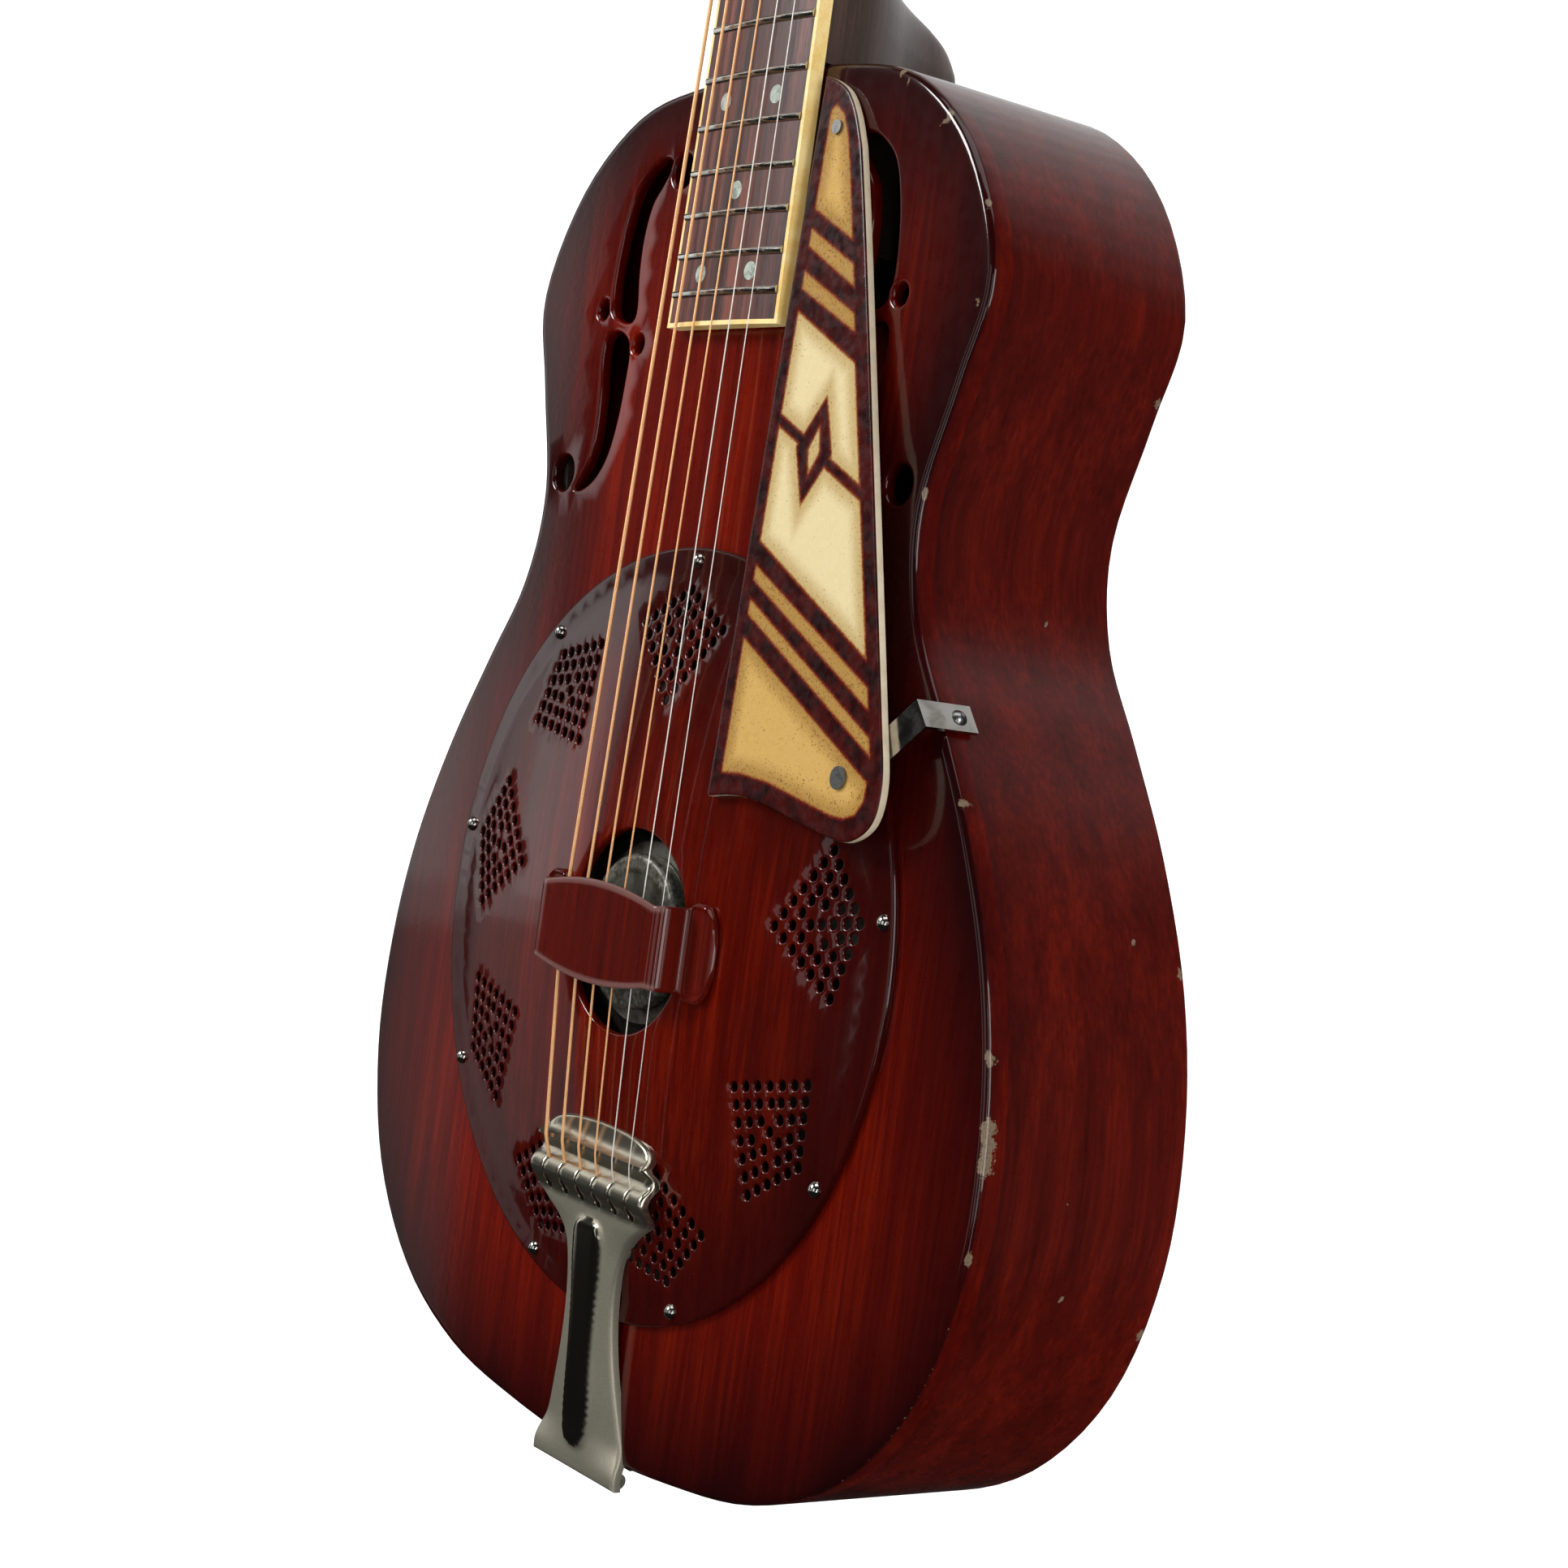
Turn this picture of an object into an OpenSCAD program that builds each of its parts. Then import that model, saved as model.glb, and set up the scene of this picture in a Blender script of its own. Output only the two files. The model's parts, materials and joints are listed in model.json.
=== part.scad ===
// Resonator guitar: a wooden body with a domed metal coverplate over a spun cone.
// +Z runs from the tail towards the headstock, +X towards the treble side and +Y to the back.
// The origin lies on the flat back, directly behind the bridge saddle.

/* [Body] */
// Widest part of the body, across the lower bout
lower_bout_w = 350; // [340:1:360]
// Depth of the body from the flat back to the soundboard
body_depth = 79; // [76:1:84]
// Thickness of the soundboard
top_t = 4.5; // [3.5:0.5:4.5]
// Thickness of the back plate
back_t = 3.5; // [3:0.5:4]
// Thickness of the bent sides
side_t = 2.6; // [2.2:0.1:3]

/* [Resonator] */
// Outside radius of the coverplate rim
cover_r = 127; // [126:0.5:128]
// Radius of the circle of coverplate screws
screw_circle_r = 122.6; // [122.4:0.1:122.8]
// Radius of the opening in the middle of the coverplate
cover_opening_r = 33.5; // [32:0.5:35]
// Radius of the spun cone, to the outside of its rolled rim
cone_r = 118; // [117:0.5:118]
// Number of screws, which is also the number of groups of holes
group_count = 9; // [9]

/* [Neck] */
// Vibrating length of the strings, from nut to saddle
scale_length = 635; // [635]
// Width of the fretboard at the nut
nut_w = 46; // [44:0.5:47]
// Width of the fretboard where the neck joins the body
join_w = 59.2; // [58:0.2:60]
// Number of frets
fret_count = 19; // [18:1:19]
// Backward tilt of the neck
neck_angle = 0.7; // [0.7]
// Backward tilt of the headstock from the neck
head_angle = 14; // [12:1:15]

/* [Strings] */
// Height of the strings above the soundboard at the saddle
saddle_h = 17.5; // [17:0.5:18]
// Distance between the outer strings at the saddle
saddle_spread = 56.4; // [54:0.2:57]
// Distance between the outer strings at the nut
nut_spread = 39; // [38:0.5:40]

/* [Tuners] */
// Distance between neighbouring tuning posts
post_pitch = 35; // [34:0.5:36]
// Distance of each row of posts from the centre line
post_x = 21; // [20.5:0.5:22]
// Teeth on each tuner gear
gear_teeth = 14; // [14]

/* [Hidden] */
$fn = 48;

// ---- colours ----
finish_c = [0.36, 0.07, 0.05];
inside_c = [0.72, 0.55, 0.36];
nickel_c = [0.72, 0.71, 0.68];
steel_c = [0.6, 0.6, 0.62];
rosewood_c = [0.27, 0.13, 0.09];
cream_c = [0.93, 0.85, 0.6];

// ---- small fits ----
gap = 0.05;                  // gap between pieces that only touch
run = 0.05;                  // radial clearance of a turning fit
eps = 0.5;                   // how far a cutting tool stands past what it cuts

// ---- body outline: stations down the treble half, [x, z] for a 350 mm lower bout ----
half_outline = [
  [0, 285], [40, 284.3], [77, 277], [108, 253], [125.5, 216], [117.5, 183], [107.2, 146],
  [112.5, 114], [130, 85], [149.5, 52], [166, 14], [174.5, -26], [174, -68], [160, -109],
  [131, -141], [92, -159.5], [48, -167], [0, -170]
];
x_scale = lower_bout_w / 350;
last_station = len(half_outline) - 1;
outline_stations = concat(
  [for (p = half_outline) [p.x * x_scale, p.y]],
  [for (i = [last_station - 1:-1:1]) [-half_outline[i].x * x_scale, half_outline[i].y]]
);
body_top_z = half_outline[0].y;
tail_z = half_outline[last_station].y;
heel_z = body_top_z + 0.2;   // the heel's foot stands just clear of the crown of the outline
front_y = -body_depth;       // outer face of the soundboard
inner_front_y = front_y + top_t;
inner_back_y = -back_t;

// ---- resonator ----
cover_z = 2.4;               // the coverplate's centre lies this far above the saddle line
cover_t = 1;
dome_r = 118;                // where the flat flange turns up into the dome
dome_step = 2.8;             // height of the dome at its foot
dome_rise = 8.8;             // further rise of the dome to its centre
dome_ball_r = (dome_r * dome_r + dome_rise * dome_rise) / (2 * dome_rise);
well_wall = 8;
well_r = cone_r + 1 + well_wall;
ledge_depth = 27;            // the cone's rim rests this far behind the soundboard's face
well_depth = 34;
kite_inner_r = 76.3;         // a hole group's tip nearest the centre
kite_side = [22.2, 100.9];   // its two side corners
kite_outer_r = 112.8;        // its tip nearest the rim
perforation_r = 1.75;
cover_shank_r = 1.2;
cone_t = 0.6;
cone_top_r = 30;
cone_top_h = 3.2;
cone_hole_r = 1.75;
biscuit_r = 25.5;
biscuit_t = 6.5;
biscuit_top_h = cone_top_h + gap + biscuit_t;
saddle_t = 2.4;

// ---- neck ----
join_z = scale_length * pow(2, -14 / 12);
nut_z = scale_length - join_z;            // in the neck's own frame
join_h = 0.8;                             // underside of the fretboard above the soundboard
board_t = 5;
board_end_z = 201 - join_z;
binding_t = 1.5;
crown = 1.46;                             // rise of the fretboard's middle above its edges
crown_r = (join_w * join_w / 4 + crown * crown) / (2 * crown);
nut_t = 5;
nut_string_h = 8.6;
head_t = 14;
head_l = 152;
veneer_t = 1.6;
head_z = nut_z + nut_t;
bar_w = 6;                                // the steel bar let into the neck
bar_t = 10;
bar_l = 320;
bar_z0 = 12;
dot_r = 3;
fret_h = 1;

// ---- strings: bass to treble ----
string_r = [0.66, 0.53, 0.42, 0.32, 0.216, 0.165];
tail_pitch = 10;
ball_z = -82.5;
lip_z = -70;
lip_h = 12.4;
lip_r = 1.6;
roll_z = -81;
roll_h = 11.2;
roll_r = 3.6;
wrap_h = 9;                               // height of the wraps above the headstock's wood
wrap_turns = 3;                           // the turns on a post are drawn as one plain ring

// ---- tailpiece ----
hinge_z = tail_z - 3.4;
hinge_h = 0.6;
hinge_pin_r = 1.2;
knuckle_r = 2.6;
knuckle_l = 9.8;
plate_t = 1.4;
bracket_t = 1.5;
leg_z = tail_z - gap - bracket_t;         // outer face of the bracket's leg
end_pin_shank_r = 4;
end_pin_y = front_y / 2;

// ---- pickguard ----
guard_t = 3.2;
guard_z0 = 277;                           // here the guard's back just clears the soundboard
guard_tilt = atan(0.042);
guard_lift = 0.1;
guard_screw_top = [46, 262.3];
guard_screw_low = [103, 63.3];
strap_w = 9.4;
strap_t = 1.2;

// ---- tuners ----
first_post_z = 32;
post_r = 3.1;
bushing_r = 4.4;
tuner_plate_t = 1.2;
gear_r = 6;
tooth_h = 0.55;
gear_t = 3;
worm_r = 2.6;
thread_h = 0.6;
worm_l = 7.4;
shaft_r = 1.7;
ear_t = 1.3;
ear_w = 6.4;
ear_gap = 5;                              // from the post's axis to an ear's near face
gear_centre = gear_r + worm_r + 0.15;     // from the post's axis to the worm's axis
lead = 2 * PI * gear_r / gear_teeth;
gear_y = head_t + tuner_plate_t + 3.6;
button_x = 45;

// ---- curves ----
function blend_point(a, b, c, d, t) =
  0.5 * (2 * b + (c - a) * t + (2 * a - 5 * b + 4 * c - d) * t * t + (3 * b - a - 3 * c + d) * t * t * t);
function closed_curve(pts, steps) =
  let (n = len(pts))
  [for (i = [0:n - 1]) for (j = [0:steps - 1])
    blend_point(pts[(i + n - 1) % n], pts[i], pts[(i + 1) % n], pts[(i + 2) % n], j / steps)];
function open_curve(pts, steps) =
  let (n = len(pts) - 1)
  concat(
    [for (i = [0:n - 1]) for (j = [0:steps - 1])
      blend_point(pts[max(i - 1, 0)], pts[i], pts[i + 1], pts[min(i + 2, n)], j / steps)],
    [pts[n]]
  );
function left_normal(a, b) = let (d = b - a) [-d.y, d.x] / norm(d);
function inset(pts, depth) =
  let (n = len(pts))
  [for (i = [0:n - 1]) pts[i] - depth * left_normal(pts[(i + n - 1) % n], pts[(i + 1) % n])];

outline = closed_curve(outline_stations, 5);

// ---- heights and frames ----
function top_y(h) = front_y - h;
function dome_h(r) =
  dome_step + dome_rise - dome_ball_r + sqrt(dome_ball_r * dome_ball_r - r * r);
function spin_x(p, a) = [p.x, p.y * cos(a) - p.z * sin(a), p.y * sin(a) + p.z * cos(a)];
function from_neck(p) = spin_x(p, -neck_angle) + [0, top_y(join_h), join_z];
function from_head(p) = from_neck(spin_x(p, -head_angle) + [0, 0, head_z]);
function board_half(z) = (join_w / 2) + (nut_w - join_w) / 2 * z / nut_z;
function fret_z(n) = scale_length * pow(2, -n / 12) - join_z;
function crown_y(x) = -board_t - crown + crown_r - sqrt(crown_r * crown_r - x * x);
function spread_x(i, spread) = (i / 5 - 0.5) * spread;

module in_neck() { translate([0, top_y(join_h), join_z]) rotate([-neck_angle, 0, 0]) children(); }
module in_head() { in_neck() translate([0, 0, head_z]) rotate([-head_angle, 0, 0]) children(); }
// A flat shape drawn in x and z, with its back at y and its face t further forward
module slab(y, t) { translate([0, y, 0]) rotate([90, 0, 0]) linear_extrude(t) children(); }
// A round bar along y, from y forward by t
module bar_y(x, y, z, r, t) { translate([x, y, z]) rotate([90, 0, 0]) cylinder(r = r, h = t); }
// A profile drawn in y and z, extruded along x between two places
module across(x0, x1) {
  translate([x0, 0, 0]) rotate([90, 0, 90]) linear_extrude(x1 - x0) children();
}
// A shape turned about the cover's axis: its profile is drawn in radius and height
module turned() {
  translate([0, front_y, cover_z]) rotate([90, 0, 0]) rotate_extrude($fn = 96) children();
}
module rod(a, b, r) {
  d = b - a;
  translate(a) rotate([0, acos(d.z / norm(d)), atan2(d.y, d.x)]) cylinder(r = r, h = norm(d));
}
module mirrored() { children(); mirror([1, 0, 0]) children(); }

// ---- body ----
module outline_2d(depth = 0) { polygon(depth == 0 ? outline : inset(outline, depth)); }

module f_hole_2d() {
  upper = [[52, 259], [58, 261], [66, 257], [72.5, 250], [77, 236], [78.8, 222], [78.3, 211.5],
           [75.5, 207.3], [69, 205.2], [64, 205.8], [62.6, 210], [64.3, 222], [64.3, 234],
           [61.5, 245.5], [56, 252.5]];
  lower = [[79.5, 199.5], [74, 202.2], [67, 200], [63.7, 195], [64, 184], [65.3, 172], [68.5, 160],
           [74, 152], [81, 147.6], [87, 146.6], [84.2, 150.5], [80, 157], [78, 167], [78.4, 180],
           [80, 191]];
  polygon(closed_curve(upper, 3));
  polygon(closed_curve(lower, 3));
  translate([45, 256]) circle(5.8);
  translate([95.5, 152.5]) circle(6.3);
  translate([83.5, 210]) circle(3.5);
  translate([58.5, 197.5]) circle(3.4);
}

module soundboard() {
  color(finish_c) difference() {
    slab(inner_front_y, top_t) difference() {
      outline_2d();
      mirrored() f_hole_2d();
      translate([0, cover_z]) circle(cone_r + 1);
    }
    cover_screw_places() cylinder(r = cover_shank_r + gap, h = 30, center = true, $fn = 24);
    bar_y(guard_screw_top.x, inner_front_y + eps, guard_screw_top.y, 1.25, top_t + 2 * eps);
  }
}

module back_plate() { color(finish_c) slab(0, back_t) outline_2d(); }

module side_shell(sign) {
  color(finish_c) difference() {
    slab(inner_back_y, body_depth - top_t - back_t) intersection() {
      difference() { outline_2d(); outline_2d(side_t); }
      translate([sign > 0 ? 0 : -200, -200]) square([200, 500]);
    }
    if (sign > 0) bracket_screw_place() cylinder(r = 1.15, h = 30, center = true, $fn = 24);
    bar_z(tail_z - eps, end_pin_shank_r + gap, 10);
    bracket_screw_pair() cylinder(r = 1.35, h = 20, center = true, $fn = 24);
  }
}
module bass_side() { side_shell(-1); }
module treble_side() { side_shell(1); }
module bar_z(z, r, l) { translate([0, end_pin_y, z]) cylinder(r = r, h = l); }

block_half_w = 38;
neck_block_z = 228;
tail_block_z = tail_z + 22;
module lining(y, t, w) {
  color(inside_c) difference() {
    slab(y, t) difference() {
      outline_2d(side_t + gap);
      outline_2d(side_t + w);
      translate([-block_half_w - 1, neck_block_z]) square([2 * block_half_w + 2, 100]);
      translate([-block_half_w - 1, tail_z]) square([2 * block_half_w + 2, 30]);
    }
    bracket_screw_place() cylinder(r = 1.15, h = 30, center = true, $fn = 24);
  }
}
module top_lining() { lining(inner_front_y + 12, 12, 6); }
module back_lining() { lining(inner_back_y, 12, 6); }

module end_block(z0, z1) {
  slab(inner_back_y, body_depth - top_t - back_t) intersection() {
    outline_2d(side_t + gap);
    translate([-block_half_w, z0]) square([2 * block_half_w, z1 - z0]);
  }
}
module neck_block() {
  color(inside_c) end_block(neck_block_z, body_top_z);
}
module tail_block() {
  color(inside_c) difference() {
    end_block(tail_z, tail_block_z);
    bar_z(tail_z, end_pin_shank_r + gap, 20);
    bracket_screw_pair() cylinder(r = 1.35, h = 30, center = true, $fn = 24);
  }
}

module soundwell() {
  port_r = 8;
  port_count = 10;
  color(inside_c) difference() {
    translate([0, inner_front_y, cover_z]) rotate([-90, 0, 0]) difference() {
      cylinder(r = well_r, h = well_depth - top_t, $fn = 96);
      translate([0, 0, -eps]) cylinder(r = cone_r + 1, h = ledge_depth - top_t + eps, $fn = 96);
      cylinder(r = cone_r - 9, h = well_depth, $fn = 96);
      for (i = [0:port_count - 1]) rotate([0, 0, (i + 0.5) * 360 / port_count])
        translate([cone_r - 4, 0, 13]) rotate([0, 90, 0]) cylinder(r = port_r, h = 20);
    }
    cover_screw_places() cylinder(r = cover_shank_r + gap, h = 30, center = true, $fn = 24);
  }
}

module top_braces() {
  brace_h = 10;
  color(inside_c) {
    slab(inner_front_y + brace_h, brace_h) translate([-92, 134]) square([184, 7]);
    slab(inner_front_y + brace_h, brace_h) mirrored() translate([20, 141]) square([7, 86]);
  }
}
module back_braces() {
  brace_h = 12;
  color(inside_c) {
    for (z = [165, 60, -60]) {
      half = z > 100 ? 97 : (z > 0 ? 128 : 162);
      slab(inner_back_y, brace_h) translate([-half, z]) square([2 * half, 7]);
    }
  }
}

module end_pin() {
  color("black") {
    bar_z(tail_z - 4, end_pin_shank_r, 20);
    bar_z(tail_z - 4.4, 6, 2.4);
    bar_z(tail_z - 7, 4.6, 3.4);
    bar_z(tail_z - 10.2, 6.6, 3.6);
  }
}

// ---- resonator ----
module cover_screw_places() {
  for (i = [0:group_count - 1])
    translate([0, front_y, cover_z]) rotate([0, i * 360 / group_count, 0])
      translate([0, 0, screw_circle_r]) rotate([90, 0, 0]) children();
}

module cone() {
  wall_r = cone_r - 7;
  rim_h = -ledge_depth + cone_t;
  color("silver") turned() difference() {
    polygon([
      [cone_hole_r, cone_top_h], [cone_top_r, cone_top_h], [cone_top_r + 2, cone_top_h - 1.4],
      [wall_r, rim_h + 1.6], [wall_r + 1.6, rim_h + 0.4], [cone_r - 1.6, rim_h], [cone_r, rim_h],
      [cone_r, -ledge_depth + gap], [wall_r + 1.2, -ledge_depth + gap], [wall_r - 0.6, rim_h + 1.2],
      [cone_top_r + 1.6, cone_top_h - 2.2], [cone_top_r - 0.4, cone_top_h - cone_t],
      [cone_hole_r, cone_top_h - cone_t]
    ]);
    square([cone_hole_r, 10]);
  }
}

module biscuit() {
  color([0.3, 0.29, 0.24]) difference() {
    turned() translate([0, cone_top_h + gap]) difference() {
      square([biscuit_r, biscuit_t]);
      square([cone_hole_r, 5]);
    }
    slab(top_y(biscuit_top_h - 3), 3 + eps) square([2 * biscuit_r, saddle_t + 2 * gap], center = true);
  }
}

module saddle() {
  half = 30;
  color("burlywood") difference() {
    translate([0, 0, -saddle_t / 2]) linear_extrude(saddle_t) polygon([
      [-20, top_y(biscuit_top_h - 3 + gap)], [20, top_y(biscuit_top_h - 3 + gap)],
      [24, top_y(biscuit_top_h + gap)], [half, top_y(biscuit_top_h + 1.5)], [half, top_y(saddle_h)],
      [-half, top_y(saddle_h)], [-half, top_y(biscuit_top_h + 1.5)], [-24, top_y(biscuit_top_h + gap)]
    ]);
    for (i = [0:5]) {
      x = spread_x(i, saddle_spread);
      r = string_r[i] + gap;
      translate([x, top_y(saddle_h), -5]) cylinder(r = r, h = 10, $fn = 24);
      translate([x - r, top_y(saddle_h) - 2, -5]) cube([2 * r, 2, 10]);
    }
  }
}

module biscuit_screw() {
  color(steel_c) turned() {
    translate([0, cone_top_h - cone_t - 2.6]) square([3.4, 2.5]);
    translate([0, cone_top_h - cone_t - 1]) square([cone_hole_r - gap, 4.5]);
  }
}

// One kite-shaped group of round holes, 7 by 7 less a cross of eight places round a middle hole. The kite's
// two long edges hold seven holes each and its two short edges hold six, so the rows spread between those
function kept_hole(i, j) = (i != 3 && j != 3) || (i == 3 && (j < 2 || j == 3)) || (j == 3 && i < 2);
function row_share(i, across_share) = i / 6 * (1 - across_share) + (i > 3 ? i - 1 : i) / 5 * across_share;
module hole_group_places() {
  for (i = [0:6]) for (j = [0:6]) {
    if (kept_hole(i, j)) {
      a = i == 3 && j == 3 ? 0.48 : row_share(i, j / 6);
      b = i == 3 && j == 3 ? 0.48 : row_share(j, i / 6);
      x = kite_side.x * (b * (1 - a) - a * (1 - b));
      r = kite_inner_r * (1 - a) * (1 - b) + kite_side.y * (a * (1 - b) + b * (1 - a)) + kite_outer_r * a * b;
      translate([x, r]) children();
    }
  }
}

module cover_groups_2d() {
  for (k = [0:group_count - 1]) rotate(k * 360 / group_count)
    hole_group_places() circle(perforation_r, $fn = 16);
}

// Everything under the dome's outer face, grown outwards by extra
module dome_solid(extra = 0) {
  turned() intersection() {
    translate([0, dome_step + dome_rise - dome_ball_r]) circle(dome_ball_r + extra, $fn = 720);
    square([dome_r + 2, 30]);
  }
}

module coverplate() {
  color(finish_c) difference() {
    union() {
      turned() polygon([
        [cone_r - 3, gap], [cover_r, gap], [cover_r, 1.8], [cover_r - 1, 2.4], [dome_r + 1, 2.4],
        [dome_r, dome_step], [cone_r - 3, dome_step]
      ]);
      difference() { dome_solid(); dome_solid(-cover_t); }
    }
    slab(top_y(0), 20) translate([0, cover_z]) {
      circle(cover_opening_r);
      cover_groups_2d();
    }
    cover_screw_places() cylinder(r = cover_shank_r + gap, h = 30, center = true, $fn = 24);
  }
}

module coverplate_screws() {
  color(nickel_c) cover_screw_places() {
    translate([0, 0, -11]) cylinder(r = cover_shank_r, h = 13.6, $fn = 24);
    intersection() {
      translate([0, 0, 2.45]) cylinder(r = 2.5, h = 3, $fn = 24);
      translate([0, 0, 1.6]) sphere(r = 2.75, $fn = 24);
    }
  }
}

hand_rest_h = 23.8;
module hand_rest() {
  t = 1.6;
  half = 36;
  color(finish_c) difference() {
    intersection() {
      translate([0, 0, cover_z - 30]) linear_extrude(60) translate([0, front_y]) difference() {
        polygon([[-half, 0], [half, 0], [half, -hand_rest_h + 5], [half - 1.4, -hand_rest_h + 1.4],
                 [half - 5, -hand_rest_h], [5 - half, -hand_rest_h], [1.4 - half, -hand_rest_h + 1.4],
                 [-half, -hand_rest_h + 5]]);
        polygon([[t - half, 5], [half - t, 5], [half - t, -hand_rest_h + 5.6],
                 [half - t - 1.2, -hand_rest_h + t + 1.2], [half - 5.2, -hand_rest_h + t],
                 [5.2 - half, -hand_rest_h + t], [t + 1.2 - half, -hand_rest_h + t + 1.2],
                 [t - half, -hand_rest_h + 5.6]]);
      }
      slab(top_y(0), 40) translate([0, cover_z - 1]) polygon(closed_curve(
        [[-50, 12.5], [-36, 12.5], [-18, 15.4], [0, 16.6], [18, 15.4], [36, 12.5], [50, 12.5],
         [50, -12.5], [36, -12.5], [18, -15.4], [0, -16.6], [-18, -15.4], [-36, -12.5], [-50, -12.5]], 4));
    }
    dome_solid(gap);
  }
  color(finish_c) mirrored() intersection() {
    slab(top_y(0), 13.2) translate([half - t, cover_z - 1]) hand_rest_foot_2d(t);
    difference() { dome_solid(1.8); dome_solid(gap); }
  }
}
module hand_rest_foot_2d(t) {
  intersection() {
    translate([0, -16]) square([20, 32]);
    union() {
      translate([t, -8]) square([15.4, 16]);
      for (z = [-8, 8]) translate([7.4, z]) circle(7.4);
      translate([0, -15.4]) square([7.4, 30.8]);
      for (z = [-8, 8]) translate([9.6, z]) circle(7.4);
    }
  }
}

// ---- tailpiece ----
tail_x = function (i) (i - 2.5) * tail_pitch;
module tailpiece_plan_2d() {
  right = open_curve([[24.6, hinge_z], [24.4, hinge_z + 4], [20.5, -157], [15.6, -138], [13.8, -120],
                      [15.8, -106], [23, -95], [31, -90], [34, -86]], 4);
  polygon(concat(right, [[34, -72], [32, -66.5], [27, -63.4], [-27, -63.4], [-32, -66.5], [-34, -72]],
                 [for (i = [len(right) - 1:-1:0]) [-right[i].x, right[i].y]]));
}
module tailpiece() {
  difference() {
    color(nickel_c) union() {
      intersection() {
        slab(top_y(-5), 40) tailpiece_plan_2d();
        across(-40, 40) polygon([for (p = [
          [hinge_z, hinge_h + knuckle_r], [-160, 3.9], [-120, 7], [-86, 10], [-76, 10.4], [-72, 11],
          [-62, 10.2], [-62, 8.8], [-72, 9.6], [-76, 9], [-86, 8.6], [-120, 5.6], [-160, 2.5],
          [hinge_z, hinge_h + knuckle_r - plate_t]]) [top_y(p.y), p.x]]);
      }
      translate([-33.6, top_y(roll_h), roll_z]) rotate([0, 90, 0]) cylinder(r = roll_r, h = 67.2);
      translate([-32.5, top_y(lip_h), lip_z]) rotate([0, 90, 0]) cylinder(r = lip_r, h = 65, $fn = 24);
      translate([-32.5, top_y(lip_h), lip_z - lip_r]) cube([65, 2.6, 2 * lip_r]);
      tail_knuckles(1);
    }
    for (i = [0:5]) {
      translate([tail_x(i) - 0.75, top_y(roll_h + 5), ball_z]) cube([1.5, 6, 12 - 4]);
      bar_y(tail_x(i), top_y(7), ball_z, 2.2, 10);
    }
    translate([-40, top_y(hinge_h), hinge_z]) rotate([0, 90, 0])
      cylinder(r = hinge_pin_r + run, h = 80, $fn = 24);
    bracket_knuckle_gaps();
  }
}
// Five knuckles share the hinge: the tailpiece has three, the bracket has two
module tail_knuckles(own) {
  for (k = [-2:2]) if ((k % 2 == 0) == (own == 1))
    translate([(k - 0.5) * knuckle_l + gap * 2, top_y(hinge_h), hinge_z]) rotate([0, 90, 0])
      cylinder(r = knuckle_r, h = knuckle_l - gap * 4, $fn = 32);
}
module bracket_knuckle_gaps() {
  for (k = [-1, 1]) translate([(k - 0.5) * knuckle_l, top_y(hinge_h), hinge_z]) rotate([0, 90, 0])
    cylinder(r = knuckle_r + 0.6, h = knuckle_l, $fn = 32);
}
module bracket_screw_pair() { for (x = [-14, 14]) translate([x, end_pin_y - 12, tail_z + 1]) children(); }
module tailpiece_bracket() {
  color(nickel_c) difference() {
    union() {
      for (k = [-1, 1]) translate([(k - 0.5) * knuckle_l + gap * 2, top_y(hinge_h), leg_z])
        cube([knuckle_l - gap * 4, 10, bracket_t]);
      tail_knuckles(2);
      translate([-20, front_y + 6, leg_z]) cube([40, body_depth / 2 + 4, bracket_t]);
    }
    translate([-40, top_y(hinge_h), hinge_z]) rotate([0, 90, 0])
      cylinder(r = hinge_pin_r + run, h = 80, $fn = 24);
    bar_z(leg_z - eps, end_pin_shank_r + gap, 5);
    bracket_screw_pair() cylinder(r = 1.35, h = 30, center = true, $fn = 24);
  }
}
module tailpiece_pin() {
  color(steel_c) translate([-24.4, top_y(hinge_h), hinge_z]) rotate([0, 90, 0])
    cylinder(r = hinge_pin_r, h = 48.8, $fn = 24);
}
module tailpiece_screws() {
  color(nickel_c) bracket_screw_pair() {
    translate([0, 0, -4]) cylinder(r = 1.3, h = 16, $fn = 24);
    translate([0, 0, leg_z - tail_z - 1 - 1.6 - gap]) cylinder(r = 2.8, h = 1.6, $fn = 24);
  }
}

// ---- neck ----
module shaft_slice(z, depth) {
  half = board_half(z) - 0.4;
  translate([0, 0, z]) linear_extrude(0.5)
    polygon([for (a = [0:12:180]) [half * cos(a), depth * pow(sin(a), 0.85)]]);
}
module heel() {
  intersection() {
    across(-30, 30) polygon(concat(
      [[front_y, heel_z], [-3.5, heel_z]],
      open_curve([[-3.5, 299], [-10, 309.5], [-20, 315.5], [-33, 318.5], [-46, 322], [-56, 330],
                  [-62, 346]], 4),
      [[front_y, 346]]));
    translate([0, 0, heel_z]) linear_extrude(70) polygon([
      [-28.5, front_y], [28.5, front_y], [24, front_y + 22], [15, front_y + 52], [9, -3.5], [-9, -3.5],
      [-15, front_y + 52], [-24, front_y + 22]]);
  }
}
module head_outline_2d() {
  right = open_curve([[23, 0], [26.5, 8], [31.5, 18], [33, 40], [34.5, 100], [36, 138]], 4);
  top = open_curve([[36, 138], [30, 145], [16, 147.5], [7, head_l - 1], [0, head_l]], 4);
  half = concat(right, [for (i = [1:len(top) - 1]) top[i]]);
  polygon(concat(half, [for (i = [len(half) - 2:-1:0]) [-half[i].x, half[i].y]]));
}
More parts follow.
